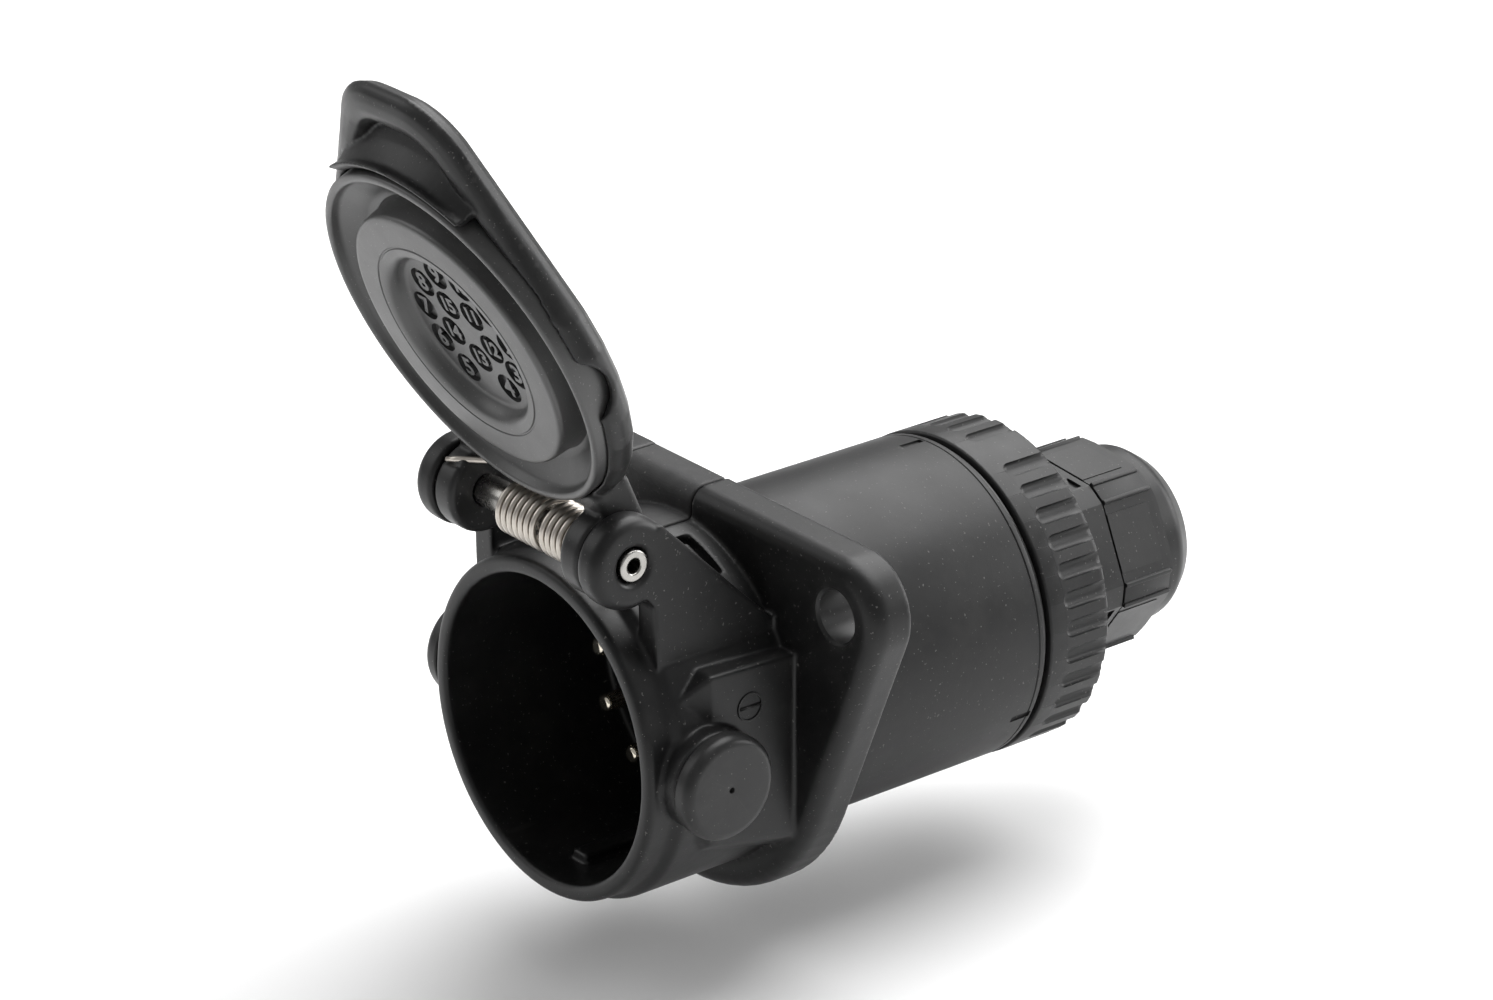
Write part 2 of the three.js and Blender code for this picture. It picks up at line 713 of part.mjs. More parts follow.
function glandNut() {
  const hex = hexBar(hexRadius, nutStartY, nutHexEndY);
  const collarEnd = nutEnd - nutDomeLength;
  const dome = turned([
    [0, nutHexEndY - 1],
    [nutCollarRadius, nutHexEndY - 1],
    [nutCollarRadius, collarEnd],
    [nutCollarRadius - 1, collarEnd + 2.6],
    [nutCollarRadius - 3.4, collarEnd + 4.4],
    [nutCollarRadius - 6, nutEnd],
    [0, nutEnd],
  ]);
  const innerEnd = threadEndY + 2.4;
  const inside = turned(
    [
      [0, nutStartY - 1],
      [glandThreadRadius + gap, nutStartY - 1],
      [glandThreadRadius + gap, threadEndY + gap],
      [clawRadius, innerEnd],
      [cableRadius, innerEnd],
      [cableRadius, nutEnd + 1],
      [0, nutEnd + 1],
    ],
    32,
  );
  return cut(join(hex, dome), inside);
}

add("gland_nut", glandNut(), finishes.plastic);

export default part;
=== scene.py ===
# %% [markdown]
# # A fifteen-contact trailer wiring socket
# A truck's trailer socket is a moulded nylon body that bolts to a bracket, with a sprung lid over
# its mouth and a closed barrel behind it. The CAD model fixes where every piece is and how the lid,
# the union ring and the gland nut turn. This lesson builds the visible pieces round that frame.

import json
import math

import bmesh
import bpy
from mathutils import Matrix, Vector


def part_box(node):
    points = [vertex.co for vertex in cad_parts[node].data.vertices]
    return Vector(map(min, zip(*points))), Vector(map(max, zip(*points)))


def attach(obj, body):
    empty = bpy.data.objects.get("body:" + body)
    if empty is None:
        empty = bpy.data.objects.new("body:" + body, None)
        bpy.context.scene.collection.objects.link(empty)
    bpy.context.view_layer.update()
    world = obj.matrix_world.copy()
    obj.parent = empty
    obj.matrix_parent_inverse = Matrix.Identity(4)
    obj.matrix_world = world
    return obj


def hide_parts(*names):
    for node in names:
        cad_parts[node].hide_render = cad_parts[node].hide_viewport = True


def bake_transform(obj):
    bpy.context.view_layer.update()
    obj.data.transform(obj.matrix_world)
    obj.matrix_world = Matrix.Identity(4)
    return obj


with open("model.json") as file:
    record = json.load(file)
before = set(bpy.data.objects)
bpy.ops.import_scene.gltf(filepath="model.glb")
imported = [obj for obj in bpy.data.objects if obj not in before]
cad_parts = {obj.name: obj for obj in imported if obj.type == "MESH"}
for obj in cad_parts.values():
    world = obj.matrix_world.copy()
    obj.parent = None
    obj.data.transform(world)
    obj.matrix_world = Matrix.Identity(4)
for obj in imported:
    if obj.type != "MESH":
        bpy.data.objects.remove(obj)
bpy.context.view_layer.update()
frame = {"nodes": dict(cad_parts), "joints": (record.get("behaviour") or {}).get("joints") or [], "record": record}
MM = 0.001
joints = {joint["name"]: joint for joint in frame["joints"]}
mounts = {mount["name"]: Vector(mount["pos_m"]) / MM for mount in frame["record"]["mounts"]}
hinge = Vector(joints["lid_hinge"]["pos_m"]) / MM
open_angle = joints["lid_hinge"]["range_deg"][1]
rim = mounts["mouth_rim"].y


def span(node):
    """A node's lowest and highest corner, in millimetres."""
    low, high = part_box(node)
    return low / MM, high / MM


print(len(frame["nodes"]), "CAD nodes; the lid stands", open_angle, "degrees open")

# %% [markdown]
# ## Camera, floor and light
# The camera looks down over the socket's right shoulder with a long lens, so that the lens hardly
# bends the outline. A near-white floor and a broad soft light overhead suit black plastic: dark
# mouldings are read by the soft highlights on their rounded edges, so that light has to be large.
# A weak light fills the front from the left, and a low one behind on the right edges the barrel.

# %% Camera
camera_data = bpy.data.cameras.new("camera")
camera_data.lens = 123.4
camera_data.sensor_width = 36
camera = bpy.data.objects.new("camera", camera_data)
camera.location = (0.6175, -0.4896, 0.3740)
camera.rotation_euler = [math.radians(a) for a in (66.5, 0, 51.25)]
bpy.context.scene.collection.objects.link(camera)
bpy.context.scene.camera = camera
bpy.context.scene.view_settings.view_transform = "Standard"
print("camera", tuple(round(c, 3) for c in camera.location))

# %% Lights


def soft_light(name, place, aim, size, watts):
    data = bpy.data.lights.new(name, "AREA")
    data.shape = "RECTANGLE"
    data.size, data.size_y = size
    data.energy = watts
    light = bpy.data.objects.new(name, data)
    light.location = place
    light.rotation_euler = (Vector(aim) - Vector(place)).to_track_quat("-Z", "Y").to_euler()
    bpy.context.scene.collection.objects.link(light)
    return light


middle = (0, 0.02, 0.02)
soft_light("overhead", (-0.2, 0.55, 1.1), middle, (1.4, 1.4), 31)
soft_light("left_front", (-0.9, -0.7, 0.75), middle, (0.8, 0.8), 3)
soft_light("right_back", (0.5, 1.2, 0.42), middle, (0.8, 0.5), 10)
world = bpy.data.worlds.new("studio")
world.use_nodes = True
world.node_tree.nodes["Background"].inputs["Color"].default_value = (1, 1, 1, 1)
world.node_tree.nodes["Background"].inputs["Strength"].default_value = 0.34
bpy.context.scene.world = world

# %% [markdown]
# ## Shader arithmetic
# A finish is mostly arithmetic on patterns: grain times a small number, one minus a mask. Wiring
# Math nodes by hand hides that, so a small class wraps a socket and lets Python's operators add
# the nodes. Everything else goes through one method that sets a node up and links it.

# %% A socket with operators


class Flow:
    def __init__(self, finish, socket):
        self.finish, self.socket = finish, socket

    def maths(self, operation, *values):
        return self.finish.node("ShaderNodeMath", {"operation": operation}, dict(enumerate(values)))

    def __add__(self, other):
        return self.maths("ADD", self, other)

    def __sub__(self, other):
        return self.maths("SUBTRACT", self, other)

    def __rsub__(self, other):
        return self.maths("SUBTRACT", other, self)

    def __mul__(self, other):
        return self.maths("MULTIPLY", self, other)

    def clipped(self, low=0.0, high=1.0):
        return self.maths("MINIMUM", self.maths("MAXIMUM", self, low), high)

    __radd__ = __add__
    __rmul__ = __mul__


class Finish:
    """One material, its shader and the nodes that feed it."""

    def __init__(self, name, **constants):
        self.material = bpy.data.materials.new(name)
        self.material.use_nodes = True
        self.tree = self.material.node_tree
        self.shader = self.tree.nodes["Principled BSDF"]
        for socket, value in constants.items():
            self.shader.inputs[socket.replace("_", " ")].default_value = value
        self.place = self.node("ShaderNodeTexCoord", out="Object")

    def node(self, kind, settings=None, sockets=None, out=0):
        made = self.tree.nodes.new(kind)
        for name, value in (settings or {}).items():
            if name == "stops":
                while len(made.color_ramp.elements) < len(value):
                    made.color_ramp.elements.new(0.5)
                for stop, (at, shade) in zip(made.color_ramp.elements, value):
                    stop.position = at
                    stop.color = (shade, shade, shade, 1)
            else:
                setattr(made, name, value)
        for name, value in (sockets or {}).items():
            if isinstance(value, Flow):
                self.tree.links.new(value.socket, made.inputs[name])
            else:
                made.inputs[name].default_value = value
        return Flow(self, made.outputs[out])

    def noise(self, size, detail=2.0, roughness=0.5, place=None):
        """Noise whose features are about this many millimetres across."""
        sockets = {"Vector": place or self.place, "Scale": 1 / (size * MM), "Detail": detail}
        return self.node("ShaderNodeTexNoise", None, {**sockets, "Roughness": roughness}, "Fac")

    def ramp(self, value, *stops):
        return self.node("ShaderNodeValToRGB", {"stops": stops}, {"Fac": value}, "Color")

    def blend(self, factor, first, second):
        """A colour between two others."""
        sockets = {"Factor": factor, 6: first, 7: second}
        return self.node("ShaderNodeMix", {"data_type": "RGBA"}, sockets, 2)

    def feed(self, **links):
        for socket, flow in links.items():
            self.tree.links.new(flow.socket, self.shader.inputs[socket.replace("_", " ")])
        return self

    def bump(self, *layers):
        """Relief from (height, depth in millimetres) layers, stacked."""
        normal = None
        for height, depth in layers:
            sockets = {"Height": height, "Distance": depth * MM, "Strength": 1.0}
            if normal:
                sockets["Normal"] = normal
            normal = self.node("ShaderNodeBump", None, sockets, "Normal")
        return self.feed(Normal=normal)


print("sockets add, subtract and multiply")

# %% [markdown]
# ## Black moulded nylon
# The housing is glass-filled nylon. Its steel mould was spark-eroded, so the skin has a fine even
# grain, and the glass gives faint cloudy flow marks. Handling leaves a thin pale film of dust and
# release agent. Noise at three sizes gives grain, clouds and dust, and the mesh's own pointiness
# finds the edges, which are made a little paler.

# %% Nylon finishes


def nylon(name, dark, pale, rough, grain=0.012):
    made = Finish(name, Specular_IOR_Level=0.34)
    clouds = made.noise(9, detail=4, roughness=0.6)
    streaks = made.noise(2.2, detail=3)
    specks = made.ramp(made.noise(0.55, detail=1), (0.0, 0.0), (0.715, 0.0), (0.755, 1.0))
    skin = made.noise(0.16, detail=1)
    points = made.node("ShaderNodeNewGeometry", out="Pointiness")
    edge = made.ramp(points, (0.0, 0.0), (0.52, 0.0), (0.62, 1.0))
    dust = ((clouds - 0.42) * 1.6 + (streaks - 0.5) * 0.5).clipped()
    colour = made.blend(dust, (*dark, 1), (*pale, 1))
    # sharp edges, found by pointiness, are made a little paler
    colour = made.blend(edge * 0.25, colour, (*(2.2 * c for c in pale), 1))
    colour = made.blend(specks * 0.5, colour, (0.17, 0.165, 0.16, 1))
    made.feed(Base_Color=colour, Roughness=(rough + (clouds - 0.5) * 0.22 + specks * 0.2).clipped())
    return made.bump((skin, grain), (streaks, 0.02)).material


housing_nylon = nylon("housing_nylon", (0.0055, 0.0055, 0.0058), (0.014, 0.0138, 0.0135), 0.42)
lid_nylon = nylon("lid_nylon", (0.013, 0.013, 0.0132), (0.03, 0.0296, 0.029), 0.38, 0.008)
barrel_nylon = nylon("barrel_nylon", (0.007, 0.007, 0.0073), (0.017, 0.0167, 0.0163), 0.46, 0.01)
gland_nylon = nylon("gland_nylon", (0.009, 0.009, 0.0093), (0.018, 0.0178, 0.0175), 0.42, 0.008)
insert_nylon = nylon("insert_nylon", (0.007, 0.007, 0.0072), (0.014, 0.0138, 0.0135), 0.55)
rough_nylon = nylon("rough_nylon", (0.02, 0.02, 0.0205), (0.045, 0.044, 0.043), 0.55, 0.05)
print("nylon finishes made")

# %% [markdown]
# ## Rubber, steel and plated contacts
# The lid's gasket is a dark rubber under a thin pale film, so it reads a little paler than the
# nylon round it. The seals are black. The spring is drawn wire with fine marks that break up its
# shine, and the contacts have a bright plating that is barely rough at all.

# %% Rubber and metal finishes


def rubber(name, dark, pale, rough):
    made = Finish(name, Specular_IOR_Level=1.0)
    film = made.noise(5, detail=5, roughness=0.65)
    grain = made.noise(0.3, detail=2)
    specks = made.ramp(made.noise(0.4, detail=1), (0.0, 0.0), (0.72, 0.0), (0.77, 1.0))
    colour = made.blend((film * 1.5 - 0.3).clipped(), (*dark, 1), (*pale, 1))
    colour = made.blend(specks * 0.5, colour, (0.2, 0.195, 0.19, 1))
    made.feed(Base_Color=colour, Roughness=(rough + (film - 0.5) * 0.2).clipped())
    return made.bump((grain, 0.015), (film, 0.03)).material


def metal(name, tone, rough, mark=0.3, tarnish=0.1):
    made = Finish(name, Metallic=1.0)
    film = made.noise(1.6, detail=4)
    scratch = made.noise(mark, detail=2)
    dull = (film * tarnish * 4 - tarnish).clipped()
    shade = made.blend(dull, (*tone, 1), (*(0.55 * c for c in tone), 1))
    made.feed(Base_Color=shade, Roughness=(rough + (film - 0.5) * 0.2).clipped(0.05))
    return made.bump((scratch, 0.004)).material


gasket_rubber = rubber("gasket_rubber", (0.01, 0.01, 0.0102), (0.028, 0.0278, 0.0273), 0.42)
seal_rubber = rubber("seal_rubber", (0.004, 0.004, 0.004), (0.009, 0.009, 0.009), 0.4)
spring_steel = metal("spring_steel", (0.56, 0.52, 0.47), 0.33)
pin_steel = metal("pin_steel", (0.4, 0.39, 0.37), 0.26, 0.6)
contact_plating = metal("contact_plating", (0.86, 0.8, 0.68), 0.14, 0.5, 0.05)
print("rubber, steel and plating made")

# %% [markdown]
# ## Tools for mouldings
# A moulded piece is a few plain solids run together, with every corner rounded where the mould's
# steel was cut. Round pieces come from turning a profile, and flat ones from lofting an outline.
# Where several solids meet, a voxel remesh welds them and a few smoothing passes round the corners
# both inside and out, as a mould does, which a bevel cannot do across such joins.

# %% Meshes from points
FINE = 144


def piece(name, points, faces):
    mesh = bpy.data.meshes.new(name)
    mesh.from_pydata([Vector(p) * MM for p in points], [], faces)
    shape = bmesh.new()
    shape.from_mesh(mesh)
    bmesh.ops.recalc_face_normals(shape, faces=shape.faces)
    shape.to_mesh(mesh)
    shape.free()
    made = bpy.data.objects.new(name, mesh)
    bpy.context.scene.collection.objects.link(made)
    return made


def loft(name, rings, closed=False):
    """A skin over rings of points that all have the same count."""
    count, last = len(rings[0]), len(rings) - 1
    pairs = [(i, i + 1) for i in range(last)] + ([(last, 0)] if closed else [])
    faces = []
    for a, b in pairs:
        for i in range(count):
            j = (i + 1) % count
            faces.append((a * count + i, a * count + j, b * count + j, b * count + i))
    if not closed:
        faces += [tuple(range(count)), tuple(range(last * count, (last + 1) * count))]
    return piece(name, [p for ring in rings for p in ring], faces)


def oblong(near, far, low, high):
    """A rectangle's four corners: a tube's wall, a rod if near is 0, or a flat plate."""
    return [(near, low), (far, low), (far, high), (near, high)]


def rounded(corners, radii, closed=False, steps=6):
    """Corners of a flat line turned into arcs; radii is one number, or one for each corner."""
    count = len(corners)
    radii = radii if isinstance(radii, (list, tuple)) else [radii] * count
    made = []
    for i, (corner, radius) in enumerate(zip(corners, radii)):
        here = Vector(corner)
        back, ahead = Vector(corners[i - 1]) - here, Vector(corners[(i + 1) % count]) - here
        if radius == 0 or (not closed and i in (0, count - 1)):
            made.append(tuple(here))
            continue
        angle = back.angle(ahead)
        reach = min(radius / math.tan(angle / 2), back.length * 0.49, ahead.length * 0.49)
        start, end = here + back.normalized() * reach, here + ahead.normalized() * reach
        weight = math.sin(angle / 2)
        for k in range(steps + 1):
            t = k / steps
            a, b, c = (1 - t) ** 2, 2 * weight * t * (1 - t), t**2
            made.append(tuple((start * a + here * b + end * c) / (a + b + c)))
    return made


PLACES = {
    "x": lambda along, a, b: (along, a, b),
    "y": lambda along, a, b: (a, along, b),
    "z": lambda along, a, b: (a, b, along),
}


def turned(name, profile, axis="y", centre=(0, 0, 0), sides=FINE):
    """A profile of (radius, place along the axis) turned right round."""
    kept = [(r, along) for r, along in profile if r > 0]
    rings = []
    for r, along in kept:
        turn = [2 * math.pi * i / sides for i in range(sides)]
        ring = [PLACES[axis](along, r * math.cos(t), r * math.sin(t)) for t in turn]
        rings.append([Vector(p) + Vector(centre) for p in ring])
    return loft(name, rings, closed=len(kept) == len(profile))


def prism(name, outline, low, high, axis="y", edge=0.0, steps=3):
    """A flat outline given a thickness, with its rims rounded."""
    place = PLACES[axis]
    made = loft(name, [[place(along, a, b) for a, b in outline] for along in (low, high)])
    if edge:
        shape = bmesh.new()
        shape.from_mesh(made.data)
        caps = [f for f in shape.faces if len(f.verts) == len(outline)]
        rims = list({e for f in caps for e in f.edges})
        size = {"offset": edge * MM, "segments": steps, "clamp_overlap": True}
        bmesh.ops.bevel(shape, geom=rims, profile=0.5, affect="EDGES", **size)
        shape.to_mesh(made.data)
        shape.free()
    return made


def block(name, x, y, z, edge=0.0):
    """A box between two values on each axis, with rounded edges."""
    corners = oblong(*x, *z)
    outline = rounded(corners, edge, closed=True, steps=3) if edge else corners
    return prism(name, outline, *y, edge=edge)


print("loft, turned, prism and block are ready")

# %% Joining, cutting and rounding


def settle(made):
    """Turns a piece's modifiers into its mesh."""
    graph = bpy.context.evaluated_depsgraph_get()
    mesh = bpy.data.meshes.new_from_object(made.evaluated_get(graph))
    made.modifiers.clear()
    made.data = mesh
    return made


def cut(made, *tools, how="DIFFERENCE", keep=False):
    for tool in tools:
        modifier = made.modifiers.new("cut", "BOOLEAN")
        modifier.operation = how
        modifier.object = tool
        modifier.solver = "EXACT"
    bpy.context.view_layer.update()
    settle(made)
    if not keep:
        for tool in tools:
            bpy.data.objects.remove(tool)
    return made


def joined(name, pieces):
    """Several pieces as one mesh, each still a closed shape of its own."""
    shape = bmesh.new()
    for each in pieces:
        shape.from_mesh(each.data)
        bpy.data.objects.remove(each)
    mesh = bpy.data.meshes.new(name)
    shape.to_mesh(mesh)
    shape.free()
    made = bpy.data.objects.new(name, mesh)
    bpy.context.scene.collection.objects.link(made)
    return made


def moulded(name, pieces, grain=0.4, passes=6, share=1.0):
    """Welds overlapping pieces into one skin and rounds its corners."""
    made = joined(name, pieces)
    weld = made.modifiers.new("weld", "REMESH")
    weld.mode = "VOXEL"
    weld.voxel_size = grain * MM
    ease = made.modifiers.new("ease", "SMOOTH")
    ease.factor = 0.5
    ease.iterations = passes
    if share < 1:
        thin = made.modifiers.new("thin", "DECIMATE")
        thin.ratio = share
    bpy.context.view_layer.update()
    return settle(made)


def shown(made, body, slot, material, *nodes):
    """Finishes a piece, hangs it on its body and lets it stand for CAD nodes."""
    made.data.materials.clear()
    made.data.materials.append(material)
    made.data.shade_smooth()
    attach(made, body)
    if nodes:
        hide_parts(*nodes)
    print(made.name, "has", len(made.data.polygons), "faces")
    return made


def crisp(made, degrees=35):
    """Keeps edges sharper than this from being shaded round."""
    made.data.set_sharp_from_angle(angle=math.radians(degrees))
    return made


def belt(discs, inset=0.0, steps=14):
    """The outline of a belt stretched round discs of (x, z, radius), drawn in by inset."""
    outline = []
    tangents = []
    for i, (x, z, radius) in enumerate(discs):
        nx, nz, following = discs[(i + 1) % len(discs)]
        run = math.hypot(nx - x, nz - z)
        tangents.append(math.atan2(nz - z, nx - x) - math.acos((radius - following) / run))
    for i, (x, z, radius) in enumerate(discs):
        start, end = tangents[i - 1], tangents[i]
        while end < start:
            end += 2 * math.pi
        for k in range(steps + 1):
            a = start + (end - start) * k / steps
            outline.append((x + (radius - inset) * math.cos(a), z + (radius - inset) * math.sin(a)))
    return outline


def bow(radius, steps=5):
    """(inset, depth) pairs that round an edge over a quarter turn."""
    turn = [math.pi / 2 * k / steps for k in range(steps + 1)]
    return [(radius * (1 - math.sin(t)), radius * (1 - math.cos(t))) for t in turn]


print("cut, moulded and belt are ready")

# %% [markdown]
# ## The socket housing
# One moulding carries the mouth, the two-hole flange, the hinge ears with their webs and the flat
# sides that the caps stand on. It could be modelled face by face, but the real part is plain
# solids run together, so it is made that way: each solid is cut first, and then all are welded.

# %% Flange with a well rounded front edge
screw_seat = mounts["screw_seat_right"]
flange_front = screw_seat.y
seat_below_hole = 6
hole = Vector((screw_seat.x, 0, screw_seat.z + seat_below_hole))
hole_radius, mouth, collar, tube = 4.5, 27.0, 30.0, 31.3
bore_radius, flat_reach, gap = 27.6, 30.3, 0.3
cap_radius, cap_stem, cap_thick = 9.2, 5.0, 3.6
corner_radius, lower_radius = 10.0, 37.0
belt_discs = [(0, 0, lower_radius), (hole.x, hole.z, corner_radius), (-hole.x, hole.z, corner_radius)]


def flange(name, behind=0.0):
    """The flange's whole plate, back edge crisp and front edge rounded."""
    levels = [(0.35, behind), (0.0, behind - 0.35)]
    levels += [(inset, flange_front + depth) for inset, depth in reversed(bow(3.2, 8))]
    rings = [[(x, y, z) for x, z in belt(belt_discs, inset, 24)] for inset, y in levels]
    return loft(name, rings)


print("flange from", flange_front, "to 0 mm")

# %% Tube, mouth and spigot
insert_low, insert_high = span("contact_insert")
barrel_low, barrel_high = span("rear_barrel")
spigot, spigot_bore, spigot_end = 26.05, 23.85, 14.0
stop_front, stop_back = insert_low.y - 1.9, insert_low.y - 0.3
tube_profile = rounded(
    [
        (mouth, rim),
        (collar, rim),
        (collar, rim + 5),
        (tube, rim + 6.5),
        (tube, -1.0),
        (spigot, -1.0),
        (spigot, spigot_end),
        (spigot_bore, spigot_end),
        (spigot_bore, stop_back),
        (spigot_bore - 1.5, stop_back),
        (spigot_bore - 1.5, stop_front),
        (mouth, stop_front),
    ],
    [0.7, 1.1, 1.2, 1.2, 0, 0, 0.6, 0.4, 0, 0.2, 0.3, 0.8],
    closed=True,
)


def bore(low=-70.0, high=-5.0):
    """What the mouth's bore takes out of the solids round it."""
    return turned("inside", oblong(0, bore_radius, low, high))


barrel_tube = turned("tube", tube_profile)
for s in (1, -1):
    room_x = sorted((s * (flat_reach - 0.2), s * 40))
    cut(barrel_tube, block("flat_room", room_x, (rim + 4, flange_front + gap), (-20, 20)))
plate = flange("plate")
cut(plate, bore(-20, 5))
cut(plate, turned("seat", oblong(spigot, barrel_high.x + gap, -0.8, 3)))
print("tube", round(flange_front - rim), "mm long, mouth", 2 * mouth, "mm across")

# %% [markdown]
# ### Ears, webs and sides
# Each ear is a round boss on a web that slopes back to the flange at about 45 degrees. The web's
# sloping edge is broad and soft, so it is a bevelled prism; the mouth's bore then trims what would
# reach inside. The flat sides stand a little proud of the tube and slope outwards to the flange.

# %% Ears and webs
ear_inner, ear_outer, ear_radius, pin_hole = 20.0, 25.0, 8.0, 2.98


def turned_x(name, profile, side, y, z, sides=96):
    """A profile turned about a line along X, on the right for side 1 and the left for -1."""
    return turned(name, [(r, side * x) for r, x in profile], "x", (0, y, z), sides)


def ear(side):
    boss = rounded(oblong(0, ear_radius, ear_inner, ear_outer), [0, 0.7, 2.0, 0])
    round_end = turned_x("boss", boss, side, hinge.y, hinge.z)
    top = ear_radius * math.sqrt(0.5)
    foot = hinge.z + ear_radius * math.sqrt(2) - (flange_front + 1 - hinge.y)
    outline = [
        (hinge.y + top, hinge.z + top),
        (hinge.y - 3.4, hinge.z),
        (rim + 5.2, hinge.z - ear_radius - 0.5),
        (rim + 5.6, 17.0),
        (rim + 8.0, 0.0),
        (flange_front + 1, 0.0),
        (flange_front + 1, foot),
    ]
    outline = rounded(outline, [0.2, 0.2, 1.5, 3, 0, 0, 0], closed=True, steps=4)
    web = prism("web", outline, *sorted((side * ear_inner, side * ear_outer)), axis="x", edge=1.5, steps=4)
    cut(web, bore())
    for each in (web, round_end):
        pin_room = turned("pin_room", oblong(0, pin_hole, -40, 40), "x", (0, hinge.y, hinge.z), 48)
        recess = turned_x("recess", oblong(0, 3.7, ear_outer - 0.6, 27), side, hinge.y, hinge.z, 48)
        cut(each, pin_room, recess)
    return [web, round_end]


def side_wall(side):
    """The flat side and the collar that the cap stands on."""
    cap_low, cap_high = span("side_cap_right" if side > 0 else "side_cap_left")
    seat_x = max(abs(cap_low.x), abs(cap_high.x)) - cap_thick - gap
    front = (rim + 5.2, bore_radius, 12.5, -8.5)
    full = (rim + 12.5, flat_reach, 17.2, -13.4)
    back = (flange_front + 0.5, flat_reach, 16.4, -17.4)
    rings = []
    for y, reach, top, bottom in (front, full, back):
        corners = [(22, top), (reach, top), (reach, bottom), (25.4, bottom - 3.2), (20, bottom - 4)]
        corners = rounded(corners, [0, 0.5, 2.2, 2.0, 0], closed=True, steps=3)
        rings.append([(side * x, y, z) for x, z in corners])
    flat = cut(loft("flat", rings), bore())
    stand_line = oblong(cap_stem + gap, cap_radius - 0.4, bore_radius + 0.2, seat_x)
    stand_line = rounded(stand_line, [0, 0, 0.5, 0.3], closed=True)
    stand = turned_x("stand", stand_line, side, (cap_low.y + cap_high.y) / 2, 0)
    return [flat, stand]


parts = ear(1) + ear(-1) + side_wall(1) + side_wall(-1)
print(len(parts), "solids for the ears and sides")

# %% [markdown]
# ### Cutting the lock's seat and welding the housing
# A separate locking piece drops into the flange's top and runs forward on the tube, so both are
# cut back for it. A curved slot beside the lock is where one of the mould's slides came through,
# and small blocks set round the tube cut it. A key and two ribs stand on the floor of the mouth.

# %% Lock seat, mould slot and key
lock_low, lock_high = span("flange_lock")
seam, tongue_thick = 0.22, 2.0


def lock_seat(name, grow):
    """The space of the locking piece, drawn in or out by grow."""
    x = (lock_low.x - grow, lock_high.x + grow)
    made = block(name, x, (lock_low.y - grow, 3), (lock_low.z - 6, 45))
    return cut(made, turned("core", oblong(0, tube - tongue_thick - grow, -30, 5)))


for target in (plate, barrel_tube):
    cut(target, lock_seat("seat", seam))
slides = []
slot_angles = [61.5 + 3 * k for k in range(6)]
for angle in slot_angles:
    front = flange_front - (7.0 if angle == slot_angles[-1] else 5.3)
    slide = block("slide", (29.2, 33), (front, flange_front - 3.6), (-0.95, 0.95))
    slide.data.transform(Matrix.Rotation(-math.radians(angle), 4, "Y"))
    slides.append(slide)
cut(barrel_tube, *slides)
key = block("key", (-2, 2), (rim + 7.7, stop_front + 1), (-28.2, -25.2), 0.5)
rib_y = (stop_front - 0.2, stop_front + 1.0)
ribs = [block("rib", (x - 1.1, x + 1.1), rib_y, (-26.4, -24.4), 0.3) for x in (-6, 6)]
parts += [plate, barrel_tube, key] + ribs
print(len(parts), "solids before welding")

# %% Welded housing
housing = moulded("housing", parts, 0.36, 5, 0.45)
chamfer = 0.5
hole_profile = [(0, -20), (hole_radius + chamfer, -20), (hole_radius + chamfer, flange_front)]
hole_profile += [(hole_radius, flange_front + chamfer), (hole_radius, 5), (0, 5)]
cut(housing, *[turned("hole", hole_profile, centre=(s * hole.x, 0, hole.z), sides=64) for s in (1, -1)])
shown(crisp(housing, 38), "socket", "housing_plastic", housing_nylon, "socket_housing")

# %% [markdown]
# ### The locking piece and the side caps
# The lock is cut from the same flange shape, so its top follows the flange exactly and only a
# fine seam shows. Its front is spark-eroded much rougher. The caps are plain turned buttons with
# a rounded edge and the pit that the mould's gate left in the middle.

# %% Lock and caps
block_top = cut(flange("block_top", -gap), lock_seat("room", 0), how="INTERSECT")
tongue = turned("tongue", oblong(tube - tongue_thick, tube, lock_low.y, -gap))
cut(tongue, lock_seat("room", 0), how="INTERSECT")
lock = moulded("lock", [block_top, tongue], 0.22, 4)
shown(lock, "socket", "housing_plastic", rough_nylon, "flange_lock")

for s, label in ((1, "right"), (-1, "left")):
    low, high = span("side_cap_" + label)
    outer = max(abs(low.x), abs(high.x))
    under = outer - cap_thick
    button = rounded(
        [
            (0, under - 2.8),
            (cap_stem, under - 2.8),
            (cap_stem, under),
            (cap_radius, under),
            (cap_radius, outer),
            (0.55, outer),
            (0.4, outer - 0.6),
            (0, outer - 0.6),
        ],
        [0, 0.4, 0.2, 0.5, 2.2, 0.15, 0, 0],
        steps=8,
    )
    cap = turned_x("cap_" + label, button, s, (low.y + high.y) / 2, 0, FINE)
    shown(crisp(cap, 40), "socket", "housing_plastic", lid_nylon, "side_cap_" + label)

# %% A plain mould mark on each side
mark_y, mark_z, mark_root, mark_top = -17.6, 9.6, flat_reach - 0.2, flat_reach + 0.22
for s, label in ((1, "right"), (-1, "left")):
    mark = rounded(oblong(2.25, 2.6, mark_root, mark_top), 0.06, closed=True)
    hoop = turned_x("mark", mark, s, mark_y, mark_z, 48)
    bar_x = sorted((s * mark_root, s * mark_top))
    bar = block("bar", bar_x, (mark_y - 2.2, mark_y + 2.2), (mark_z - 0.2, mark_z + 0.2))
    shown(joined("mould_mark_" + label, [hoop, bar]), "socket", "housing_plastic", housing_nylon)

# %% [markdown]
# ## Insert and contacts
# The insert is a thick disc with a low collar round each contact. Contacts are turned pins with a
# rounded nose in front and a screw terminal behind, so one mesh is made and shared by all fifteen.

